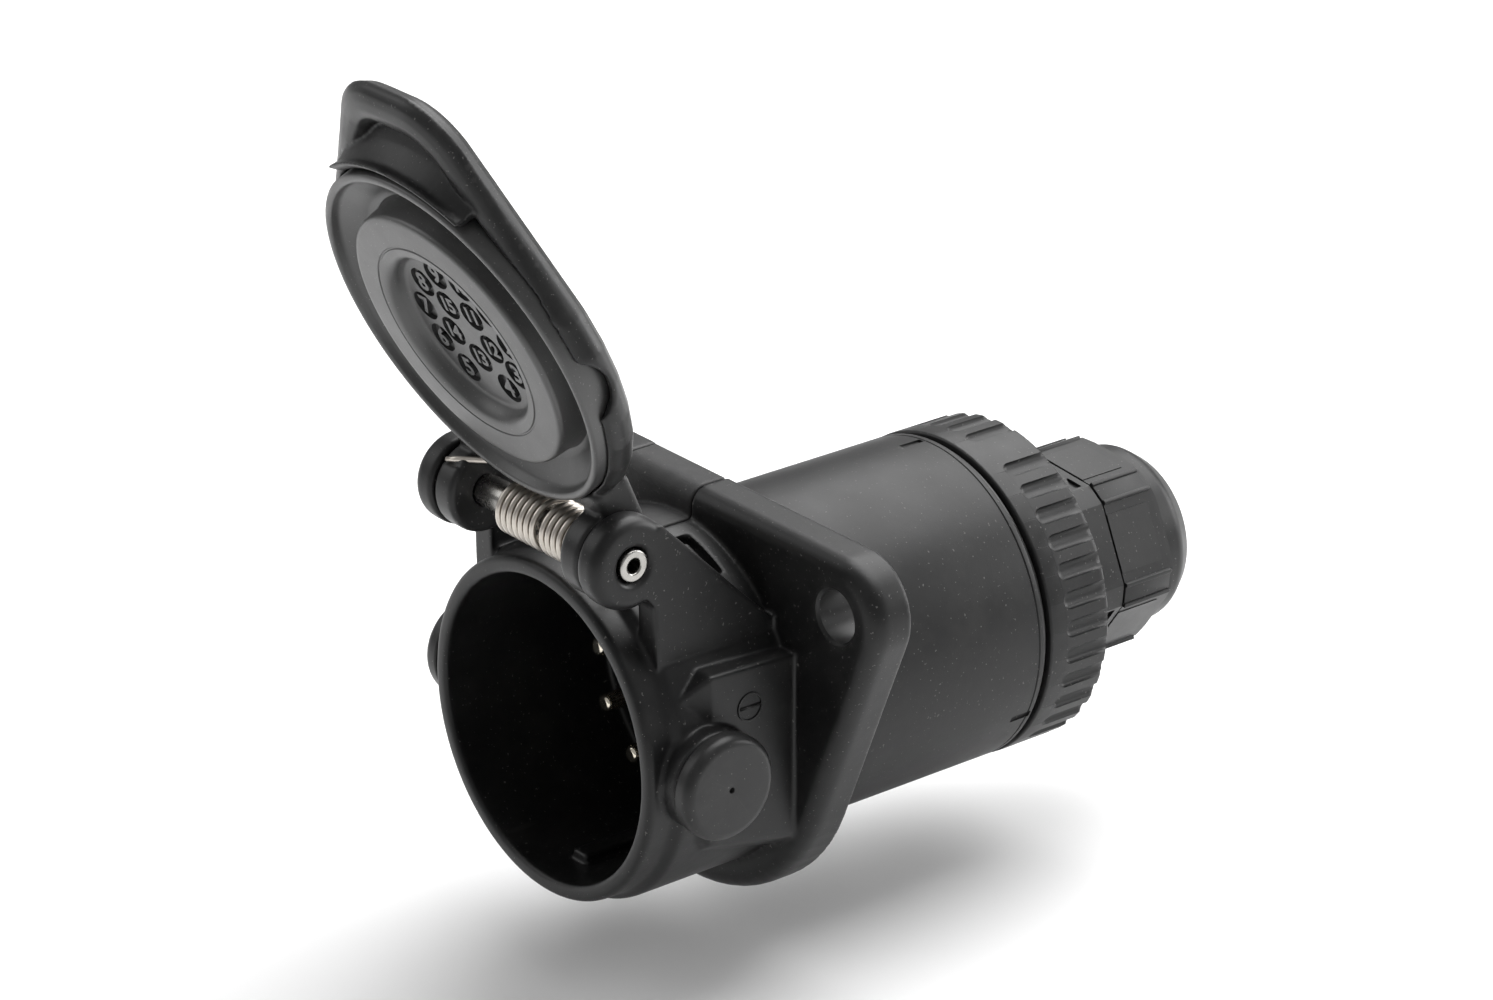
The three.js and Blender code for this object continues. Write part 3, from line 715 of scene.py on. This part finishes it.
# %% Insert
contact_names = sorted(n for n in frame["nodes"] if n.startswith("contact_") and n[-1].isdigit())
places = {n: (span(n)[0] + span(n)[1]) / 2 for n in contact_names}
contact_bore = 2.0
disc_profile = oblong(0, insert_high.x, insert_low.y, insert_high.y)
disc = turned("disc", rounded(disc_profile, [0, 0.5, 0.5, 0]))
collar_profile = rounded(oblong(contact_bore, 3.1, insert_low.y + 0.5, -3.2), [0, 0, 0.3, 0.2], True)
bores = []
collars = []
for p in places.values():
    bores.append(turned("bore", oblong(0, contact_bore, -9, 9), centre=(p.x, 0, p.z), sides=32))
    collars.append(turned("collar", collar_profile, centre=(p.x, 0, p.z), sides=32))
cut(disc, joined("bores", bores))
insert = joined("insert", [disc] + collars)
shown(crisp(insert), "socket", "insert_plastic", insert_nylon, "contact_insert")

# %% Contacts
low, high = span(contact_names[0])
back, wire_hole_end = high.y - 13, high.y - 8
pin_radius, terminal_radius, wire_hole = 1.7, 2.6, 1.5
contact_profile = rounded(
    [
        (0, low.y),
        (pin_radius, low.y),
        (pin_radius, back),
        (terminal_radius, back),
        (terminal_radius, high.y),
        (wire_hole, high.y),
        (wire_hole, wire_hole_end),
        (0, wire_hole_end),
    ],
    [0, 1.25, 0.1, 0.3, 0.3, 0.2, 0.2, 0],
    steps=7,
)
pattern = turned("pattern", contact_profile, sides=40)
cut(pattern, turned("screw", oblong(0, 1.4, 0.75, 4), "z", (0, high.y - 4, 0), 24))
crisp(pattern, 40)
for name, place in places.items():
    pin = bpy.data.objects.new("pin_" + name[-2:], pattern.data)
    bpy.context.scene.collection.objects.link(pin)
    pin.location = Vector((place.x, 0, place.z)) * MM
    shown(pin, "socket", "contact_metal", contact_plating, name)
bpy.data.objects.remove(pattern)

# %% [markdown]
# ## Hinge pin and torsion spring
# The spring winds round a hollow pin in two groups of coils. One end sits in the lid's left
# knuckle and the other presses on the housing, so it winds up as the lid shuts.

# %% Hinge pin
pin_low, pin_high = span("hinge_pin")
pin_profile = rounded(oblong(1.3, 2.75, pin_low.x, pin_high.x), 0.35, closed=True)
hinge_pin = turned("pin_tube", pin_profile, "x", (0, hinge.y, hinge.z), 64)
shown(crisp(hinge_pin, 50), "socket", "spring_steel", pin_steel, "hinge_pin")

# %% Spring
spring_low, spring_high = span("torsion_spring")
wire, coil_radius = 0.56, 4.4


def swept(name, line, radius, sides=12):
    """A round wire along a line of points."""
    rings = []
    up = Vector((0.13, 0.31, 1)).normalized()
    for i, point in enumerate(line):
        ahead = (line[min(i + 1, len(line) - 1)] - line[max(i - 1, 0)]).normalized()
        across = ahead.cross(up).normalized()
        up = across.cross(ahead).normalized()
        turn = [2 * math.pi * k / sides for k in range(sides)]
        end = 0.75 if i in (0, len(line) - 1) else 1.0
        rings.append([point + (across * math.cos(a) + up * math.sin(a)) * radius * end for a in turn])
    return loft(name, rings)


def spring_line():
    """A leg from the lid's knuckle, seven turns, a gap, five more and a tail on the tube."""
    first_x, last_x = spring_low.x + wire, spring_high.x - wire
    turns, gap_at, gap_wide, gap_sharp, steps, start = 12.1, 7.0, 1.2, 9, 32, math.radians(30)
    pitch = (last_x - first_x - gap_wide) / turns
    coil = []
    for i in range(int(turns * steps) + 1):
        t = i / steps
        x = first_x + pitch * t + gap_wide / (1 + math.exp(-gap_sharp * (t - gap_at)))
        a = start - 2 * math.pi * t
        coil.append(Vector((x, hinge.y + coil_radius * math.cos(a), hinge.z + coil_radius * math.sin(a))))
    before, after = (coil[0] - coil[1]).normalized(), (coil[-1] - coil[-2]).normalized()
    corner, foot = coil[0] + before * 5.6, Vector((-18.6, hinge.y - 5.5, hinge.z + 5.7))
    leg = (foot - corner).normalized()
    bend = 1.6
    reach = (foot - corner).length
    line = [corner + leg * (bend + (reach - bend) * k / 6) for k in range(6, -1, -1)]
    bend_start, bend_end = corner + leg * bend, corner - before * bend
    for k in range(1, 8):
        t = k / 8
        line.append(bend_start * (1 - t) ** 2 + corner * 2 * t * (1 - t) + bend_end * t * t)
    line += [corner - before * k for k in (bend, 2.5, 3.4, 4.3, 5.0)]
    return line + coil + [coil[-1] + after * 0.6 * k for k in range(1, 16)]


coil = swept("spring", spring_line(), wire)
coil.data.shade_smooth()
coil.data.materials.append(spring_steel)
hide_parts("torsion_spring")
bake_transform(coil)
print("spring of", 2 * wire, "mm wire,", round(spring_high.x - spring_low.x, 1), "mm long")

# %% [markdown]
# ## The lid
# The lid is a shallow bowl with a long grip at its tip. It is modelled shut, measured from the
# hinge, because that is how its rim and hook line up with the mouth, and then swung open. One loft
# runs over its crowned back, round the rim and down to the floor inside; the gasket's pocket,
# the hook that holds a plug in place, and the arms and knuckles are added before welding.

# %% Lid shell
lid_reach, lid_radius, grip_radius = 84.2, 33.8, 14.2
rim_y, floor_y, pocket_radius = -1.5, -5.7, 32.15
rim_fall, crown_fall, fall_start, fall_run = 1.9, 0.8, -50, 16
knuckle_inner, knuckle_outer, knuckle_radius = 14.7, 19.7, 7.6
swing = Matrix.Translation(hinge * MM) @ Matrix.Rotation(-math.radians(open_angle), 4, "X")


def lid_outline(inset, tip=0.0):
    """The lid's outline from the hinge axis, with a slight waist before the grip."""
    grip_z = grip_radius - lid_reach
    discs = [(-3.5, grip_z, grip_radius - tip), (3.5, grip_z, grip_radius - tip), (0, -hinge.z, lid_radius)]
    outline = belt(discs, inset, 22)
    return [(x * (1 - 0.05 * math.exp(-(((z + 62) / 6) ** 2))), z) for x, z in outline]


# Each level is an inset all round, an extra inset at the tip, and a height over the hinge.
lid_levels = [
    (9.5, 0, -9.2),
    (6.5, 0, -9.0),
    (4.2, 0, -8.6),
    (2.4, 0, -7.9),
    (1.1, 0, -6.9),
    (0.3, 0, -5.6),
    (0.0, 0, -4.3),
    (0.1, 0.1, -3.3),
    (0.45, 0.6, -2.4),
    (1.0, 1.4, -1.8),
    (1.6, 2.4, rim_y),
    (2.2, 3.3, -1.75),
    (2.6, 4.0, -2.5),
    (2.8, 4.3, -3.6),
    (2.9, 4.4, floor_y + 0.6),
    (3.7, 4.4, floor_y),
]


def lid_ring(inset, tip, y):
    """One level of the lid; towards the tip the rim falls back, further than the crown does."""
    fall = rim_fall if y > -5 else crown_fall
    ring = []
    for x, z in lid_outline(inset, tip):
        share = min(1, max(0, (fall_start - z) / fall_run)) ** 2
        ring.append((x, y - fall * share, z))
    return ring


shell = loft("shell", [lid_ring(*level) for level in lid_levels])
arms = []
for s in (1, -1):
    arm_x = sorted((s * 13.9, s * knuckle_outer))
    arms.append(block("arm", arm_x, (-8.2, -0.8), (-11.5, -1), 1.2))
pocket = turned("pocket", oblong(0, pocket_radius, floor_y, 5), centre=(0, 0, -hinge.z))
for each in [shell] + arms:
    cut(each, pocket, keep=True)
bpy.data.objects.remove(pocket)
print("lid", lid_reach, "mm from hinge to tip")

# %% Hook, knuckles and clearances
# Each point is a height and a distance out from just past the gasket's pocket.
hook_line = [
    (floor_y - 0.4, -0.1),
    (-2.6, 0.1),
    (-0.6, 0.15),
    (0.9, 1.9),
    (0.75, 2.15),
    (-0.9, 1.9),
    (-2.6, 2.6),
    (-4.4, 3.6),
    (floor_y - 0.4, 5.4),
]
hook_rings = []
hook_steps, hook_sweep = 24, 60
for k in range(hook_steps + 1):
    sweep = math.radians(hook_sweep * (k / hook_steps - 0.5))
    reach = [(y, pocket_radius + 0.2 + out) for y, out in hook_line]
    hook_rings.append([(r * math.sin(sweep), y, -hinge.z - r * math.cos(sweep)) for y, r in reach])
hook = loft("hook", hook_rings)
knuckle_line = oblong(2.83, knuckle_radius, knuckle_inner, knuckle_outer)
knuckle_profile = rounded(knuckle_line, [0.3, 0.9, 0.9, 0.3], True)
knuckles = [turned_x("knuckle", knuckle_profile, s, 0, 0, 72) for s in (1, -1)]
groove = swept("groove", [Vector((x, -5.55, 5.75)) for x in (-25, -19, -12)], 0.85)
groove.data.transform(Matrix.Rotation(math.radians(open_angle), 4, "X"))
cut(knuckles[1], groove)
rooms = [turned("spring_room", oblong(0, 6.6, -knuckle_inner, knuckle_inner), "x")]
for s in (1, -1):
    rooms.append(turned_x("ear_room", oblong(0, ear_radius + 0.6, knuckle_outer, 40), s, 0, 0))
    cut(shell, turned_x("cap_room", oblong(0, 6.5, 27.5, 60), s, rim_y + 3, -hinge.z))
for each in [shell] + arms:
    cut(each, *rooms, keep=True)
for room in rooms:
    bpy.data.objects.remove(room)
lid = moulded("lid", [shell, hook] + arms + knuckles, 0.34, 4, 0.5)
lid.data.transform(swing)
shown(lid, "lid", "lid_plastic", lid_nylon, "lid_shell")

# %% [markdown]
# ### The gasket and its pin numbers
# The gasket is one rubber disc: a lip that closes round the mouth's collar, a deep groove, a raised
# disc with a fine mould line, and a recess in the middle. There each contact's number stands up
# from its own sunk seat, so the fitter can read the pattern. Numbers are generic, as on any dial.

# %% Gasket
gasket_face = -1.95
# From the floor under it, over the lip, down the groove and across the disc to the recess.
gasket_profile = [
    (0, -5.4),
    (31.8, -5.4),
    (31.9, -5.2),
    (31.9, -0.1),
    (31.6, 0.3),
    (31.1, 0.45),
    (30.6, 0.35),
    (30.3, 0.0),
    (30.2, -0.9),
    (29.6, -1.5),
    (28.2, -2.5),
    (26.4, -3.9),
    (25.6, -4.45),
    (24.9, -4.5),
    (24.5, -4.0),
    (24.15, 0.0),
    (24.0, 0.5),
    (23.6, 0.8),
    (23.0, 0.85),
    (18.5, 0.9),
    (18.35, 0.72),
    (18.15, 0.72),
    (18.0, 0.9),
    (16.8, 0.8),
    (16.1, 0.4),
    (15.5, -0.6),
    (15.0, -1.5),
    (14.6, -1.85),
    (14.0, gasket_face),
    (0, gasket_face),
]
gasket = turned("gasket", gasket_profile, centre=(0, 0, -hinge.z), sides=176)
cut(gasket, turned("room", oblong(0, 6.8, -20, 20), "x"))
seats = {}
outer_row = (11.1, -62, 33.5, (4, 3, 2, 1, 10, 9, 8, 7, 6, 5))
inner_row = (5.4, -90, 72, (13, 12, 11, 15, 14))
for radius, start, step, row in (outer_row, inner_row):
    for i, number in enumerate(row):
        angle = math.radians(start + step * i)
        seats[number] = (radius * math.cos(angle), radius * math.sin(angle))
seat_floor = gasket_face - 0.8
sunk_profile = [(0, seat_floor), (2.75, seat_floor), (2.85, 2), (0, 2)]
sunk = [turned("sunk", sunk_profile, centre=(x, 0, -hinge.z - up), sides=32) for x, up in seats.values()]
cut(gasket, joined("sunk", sunk))
gasket.data.transform(swing)
shown(crisp(gasket, 42), "lid", "gasket_rubber", gasket_rubber, "lid_gasket")

# %% Raised numbers
digits = []
for number, (x, up) in seats.items():
    text = bpy.data.curves.new("number", "FONT")
    text.body = str(number)
    text.size = 5.0 * MM if number < 10 else 4.1 * MM
    text.space_character = 0.9
    text.align_x, text.align_y = "CENTER", "CENTER"
    text.extrude = 0.42 * MM
    text.offset = 0.1 * MM
    text.bevel_depth = 0.06 * MM
    text.resolution_u = 4
    label = bpy.data.objects.new("number", text)
    bpy.context.scene.collection.objects.link(label)
    bpy.context.view_layer.update()
    solid = bpy.data.meshes.new_from_object(label.evaluated_get(bpy.context.evaluated_depsgraph_get()))
    seat_at = Vector((x, seat_floor + 0.4, -hinge.z - up)) * MM
    solid.transform(Matrix.Translation(seat_at) @ Matrix.Rotation(-math.pi / 2, 4, "X"))
    raised = bpy.data.objects.new("digit", solid)
    bpy.context.scene.collection.objects.link(raised)
    digits.append(raised)
    bpy.data.objects.remove(label)
numbers = joined("numbers", digits)
numbers.data.transform(swing)
shown(crisp(numbers), "lid", "gasket_rubber", gasket_rubber)

# %% [markdown]
# ## The rear barrel and its union ring
# A plain tube closes the socket's back. A fluted union ring turns on its end and holds the cap
# on, with a rubber ring between. Each flute is a half-round hollow that starts with a round end and
# runs out through the rear chamfer, so the ring's mesh bunches its columns up at every flute.

# %% Barrel and seal ring
tail_bore, tail_radius, barrel_bore = 23.45, 26.45, 26.35
barrel_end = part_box("barrel_seal_ring")[0].y / MM - gap
barrel_radius, groove_deep = barrel_high.x, 0.16
barrel_profile = rounded(
    [
        (barrel_bore, barrel_low.y),
        (barrel_radius, barrel_low.y),
        (barrel_radius, barrel_end - 1.5),
        (barrel_radius - groove_deep, barrel_end - 1.36),
        (barrel_radius - groove_deep, barrel_end - 1.2),
        (barrel_radius, barrel_end - 1.06),
        (barrel_radius, barrel_end),
        (tail_radius, barrel_end),
        (tail_radius, barrel_high.y),
        (tail_bore, barrel_high.y),
        (tail_bore, barrel_end - 3),
        (barrel_bore, barrel_end - 3),
    ],
    [0.2, 0.25, 0, 0, 0, 0, 0.35, 0.2, 0.4, 0.4, 0, 0],
    closed=True,
    steps=4,
)
barrel = turned("barrel", barrel_profile, sides=176)
marks = []
for angle, start, length in ((94, barrel_end - 6.2, 4.6), (-26, barrel_end - 4.9, 4.3)):
    mark = block("mark", (28.8, 31), (start, start + length), (-0.7, 0.7), 0.2)
    mark.data.transform(Matrix.Rotation(-math.radians(angle), 4, "Y"))
    marks.append(mark)
cut(barrel, *marks)
shown(crisp(barrel), "socket", "housing_plastic", barrel_nylon, "rear_barrel")
seal_low, seal_high = span("barrel_seal_ring")
seal_line = oblong(tail_radius + gap, seal_high.x, seal_low.y, seal_high.y)
seal_ring = turned("seal_ring", rounded(seal_line, 0.3, closed=True))
shown(seal_ring, "socket", "seal_rubber", seal_rubber, "barrel_seal_ring")

# %% Union ring
ring_low, ring_high = span("union_ring")
ring_radius, ring_bore, ring_lip_bore, ring_lip = ring_high.x, 26.75, 21.2, 2.6
flutes, flute_depth, flute_half, flute_start, plain_flute = 36, 1.1, 1.6, ring_low.y + 3.5, 7


def ring_level(y, radius, open_flute):
    """One hoop of the ring; open_flute is how far a flute has opened, from 0 to 1."""
    hoop = []
    for k in range(flutes):
        middle_angle = math.radians(4.5 + 360 / flutes * k)
        opening = 0 if k == plain_flute else open_flute
        width = max(open_flute, 0.05) * flute_half
        for i in range(13):
            t = math.pi * (i / 12 - 0.5)
            a = middle_angle + width * math.sin(t) / ring_radius
            r = min(radius, ring_radius - flute_depth * opening * math.cos(t) ** 0.8)
            hoop.append((r * math.cos(a), y, r * math.sin(a)))
        a = middle_angle + math.pi / flutes
        hoop.append((radius * math.cos(a), y, radius * math.sin(a)))
    return hoop


levels = [(ring_low.y + d, ring_radius - i, 0) for i, d in bow(0.5, 4)]
levels += [(flute_start, ring_radius, 0.05)]
for k in range(1, 9):
    u = math.pi / 2 * (1 - k / 8)
    levels.append((flute_start + flute_half * (1 - math.sin(u)), ring_radius, math.cos(u)))
levels += [(ring_high.y - 1.6, ring_radius, 1), (ring_high.y - 1.15, ring_radius, 1)]
levels += [(ring_high.y - 0.95, ring_radius - 0.05, 1), (ring_high.y - 0.12, ring_radius - 0.88, 1)]
levels += [(ring_high.y, ring_radius - 1.15, 1)]
levels += [(ring_high.y, ring_lip_bore + 0.3, 0), (ring_high.y - 0.3, ring_lip_bore, 0)]
levels += [(ring_high.y - ring_lip, ring_lip_bore, 0), (ring_high.y - ring_lip, ring_bore, 0)]
levels += [(ring_low.y, ring_bore, 0)]
ring = loft("ring", [ring_level(*level) for level in levels], closed=True)
shown(crisp(ring, 38), "ring", "housing_plastic", gland_nylon, "union_ring")

# %% [markdown]
# ## The rear cap and the cable gland
# The cap is round where the ring holds it and hexagonal behind, with small sunk pockets that keep
# the moulding's walls even. The gland nut screws on its end: a hexagon with framed flats, ribs at
# the corners for grip, and a domed collar round the cable's bore.

# %% Rear cap
cap_low, cap_high = span("rear_cap")
nut_low, nut_high = span("gland_nut")
hex_radius, hex_turn, neck_radius, thread_radius, facet = 19.7, -5, 20.9, 14.4, 2.1
claw_low, claw_high = span("gland_claw")
claw_radius, cap_end = claw_high.x + gap, claw_low.y
slope = math.tan(math.radians(30))
facet_at = hex_radius - facet * slope


def hexagon(name, low, high, chamfer_low=0.0, chamfer_high=0.0):
    """A hexagonal bar, its corners flattened and its ends turned off on a lathe."""
    half = math.atan2(facet, facet_at)
    across = math.hypot(facet, facet_at)
    corners = []
    for k in range(6):
        here = math.radians(hex_turn + 60 * k)
        for a in (here - half, here + half):
            corners.append((across * math.cos(a), across * math.sin(a)))
    made = prism(name, rounded(corners, 0.35, closed=True, steps=3), low, high)
    lathe = [(0, low - 0.1), (hex_radius - chamfer_low, low - 0.1)]
    lathe += [(hex_radius + 1, low + (chamfer_low + 1) * slope)]
    lathe += [(hex_radius + 1, high - (chamfer_high + 1) * slope)]
    lathe += [(hex_radius - chamfer_high, high + 0.1), (0, high + 0.1)]
    return cut(made, turned("lathe", lathe), how="INTERSECT")


def around(radius, angle, made):
    """Puts a small tool, made round the origin with +X outwards, at an angle on the axis."""
    out = Matrix.Translation((radius * MM, 0, 0))
    made.data.transform(Matrix.Rotation(-math.radians(angle), 4, "Y") @ out)
    return made


flange_end = ring_high.y - ring_lip - gap
cap_hex = hexagon("cap_hex", flange_end - 1, cap_end, 0, 0.6)
flat_depth = hex_radius * math.cos(math.radians(30))
pockets = []
for k in (1, 2, 4, 5):
    for s in (1, -1):
        outline = rounded([(-1.3, 6.9), (-3.6, 6.9), (-1.3, 2.4)], 0.25, closed=True, steps=3)
        pocket = prism("pocket", [(cap_end + y, s * z) for y, z in outline], -0.6, 1.5, axis="x")
        pockets.append(around(flat_depth, hex_turn + 30 + 60 * k, pocket))
cut(cap_hex, joined("pockets", pockets))
neck_line = oblong(0, neck_radius, flange_end - 1, ring_high.y + 0.6)
cap_neck = turned("cap_neck", rounded(neck_line, [0, 0, 0.5, 0]))
cap_flange_line = oblong(0, cap_high.x, cap_low.y, flange_end)
cap_flange = turned("cap_flange", rounded(cap_flange_line, [0, 0.4, 0.3, 0]))
pitch, thread_root = 1.5, thread_radius - 0.9
thread = [(0, cap_end - 1), (thread_root, cap_end - 1)]
for k in range(int((cap_high.y - cap_end) / pitch)):
    y = cap_end + 0.2 + pitch * k
    thread += [(thread_root, y), (thread_radius, y + 0.55)]
    thread += [(thread_radius, y + 0.8), (thread_root, y + 1.35)]
thread += [(thread_root, cap_high.y), (0, cap_high.y)]
cap_thread = turned("cap_thread", thread, sides=96)
for each in (cap_neck, cap_flange, cap_thread):
    cut(cap_hex, each, how="UNION")
cap_room_line = [
    (0, cap_low.y - 1),
    (17.5, cap_low.y - 1),
    (17.5, cap_low.y + 3),
    (claw_radius - 1.6, cap_end - 6),
    (claw_radius - 1.6, cap_end - gap),
    (claw_radius, cap_end - gap),
    (claw_radius, cap_high.y + 1),
    (0, cap_high.y + 1),
]
cut(cap_hex, turned("cap_room", cap_room_line, sides=96))
cap_hex.name = "cap"
shown(crisp(cap_hex), "socket", "housing_plastic", gland_nylon, "rear_cap")

# %% Gland claw and seal
cable_bore = 6.5
claw_line = oblong(10.9, claw_high.x, claw_low.y, claw_high.y)
claw = turned("claw", rounded(claw_line, [0, 0.2, 0.9, 0.3], True), sides=96)
slit_y = (claw_low.y + 3, claw_high.y + 1)
slits = [around(0, 45 * k, block("slit", (10, 13.5), slit_y, (-0.6, 0.6))) for k in range(8)]
cut(claw, joined("slits", slits))
shown(crisp(claw), "socket", "insert_plastic", insert_nylon, "gland_claw")
plug_low, plug_high = span("gland_seal")
plug_line = oblong(cable_bore, plug_high.x, plug_low.y, plug_high.y)
plug = turned("gland_rubber", rounded(plug_line, 0.5, closed=True), sides=96)
shown(plug, "socket", "seal_rubber", seal_rubber, "gland_seal")

# %% Gland nut
nut_hex_end = nut_low.y + 12
nut = hexagon("nut", nut_low.y, nut_hex_end, 0.5, 2.2)
ridges = []
strip_start, strip_end = nut_low.y + 0.02, nut_hex_end - 1.3


def ridge(name, end, half, corner, depth, height, arc_steps, **edges):
    """A raised strip along the nut, its far corners rounded."""
    line = rounded(oblong(strip_start, end, -half, half), [0, corner, corner, 0], True, arc_steps)
    return prism(name, line, -depth, height, axis="x", **edges)


for k in range(6):
    angle = hex_turn + 60 * k
    strip = ridge("strip", strip_end, facet, 0.8, 1.4, 0.22, 4, edge=0.1, steps=2)
    ridges.append(around(facet_at, angle, strip))
    for s in (1, -1):
        rib = ridge("rib", strip_end + 0.2, 0.38, 0.37, 1.6, 0.5, 5, edge=0.2, steps=3)
        rib.data.transform(Matrix.Translation(Vector((0, 0, s * (facet - 0.1))) * MM))
        ridges.append(around(facet_at, angle, rib))
    panel = ridge("panel", nut_hex_end - 2.4, 5.3, 0.5, 1, 0.14, 4)
    ridges.append(around(flat_depth, angle + 30, panel))
cut(nut, *ridges, how="UNION")
dome_profile = rounded(
    [
        (0, nut_hex_end - 1),
        (16.4, nut_hex_end - 1),
        (16.4, nut_high.y - 5),
        (13.6, nut_high.y - 0.9),
        (7.2, nut_high.y),
        (0, nut_high.y),
    ],
    [0, 0, 3.2, 3.4, 0.4, 0],
    steps=8,
)
cut(nut, turned("dome", dome_profile), how="UNION")
nut_room = [
    (0, nut_low.y - 1),
    (thread_radius + gap, nut_low.y - 1),
    (thread_radius + gap, cap_high.y + gap),
    (claw_radius, cap_high.y + 2.4),
    (cable_bore, cap_high.y + 2.4),
    (cable_bore, nut_high.y - 0.8),
    (7.1, nut_high.y + 0.2),
    (0, nut_high.y + 0.2),
]
cut(nut, turned("nut_room", nut_room, sides=96))
shown(crisp(nut), "nut", "housing_plastic", gland_nylon, "gland_nut")

# %% [markdown]
# ## Finishing
# The terminal screws and the insert's seal are used as the CAD makes them, with a finish of their
# own. The floor is one pale sheet a little below the flange.

# %% Carried-over pieces
for node, made in frame["nodes"].items():
    finish = seal_rubber if "seal" in node else housing_nylon
    if node.startswith("terminal"):
        finish = contact_plating
    made.data.materials.clear()
    made.data.materials.append(finish)
print("CAD pieces finished")

# %% Floor
floor_finish = Finish("pale_floor", Roughness=0.6)
cloud = floor_finish.noise(60, detail=2)
floor_finish.feed(Base_Color=floor_finish.blend(cloud, (0.87, 0.87, 0.87, 1), (0.9, 0.9, 0.9, 1)))
half_floor, level = 3000, span("socket_housing")[0].z - 9
floor_line = oblong(-half_floor, half_floor, -half_floor, half_floor)
floor = piece("floor", [(x, y, level) for x, y in floor_line], [(0, 1, 2, 3)])
floor.data.materials.append(floor_finish.material)
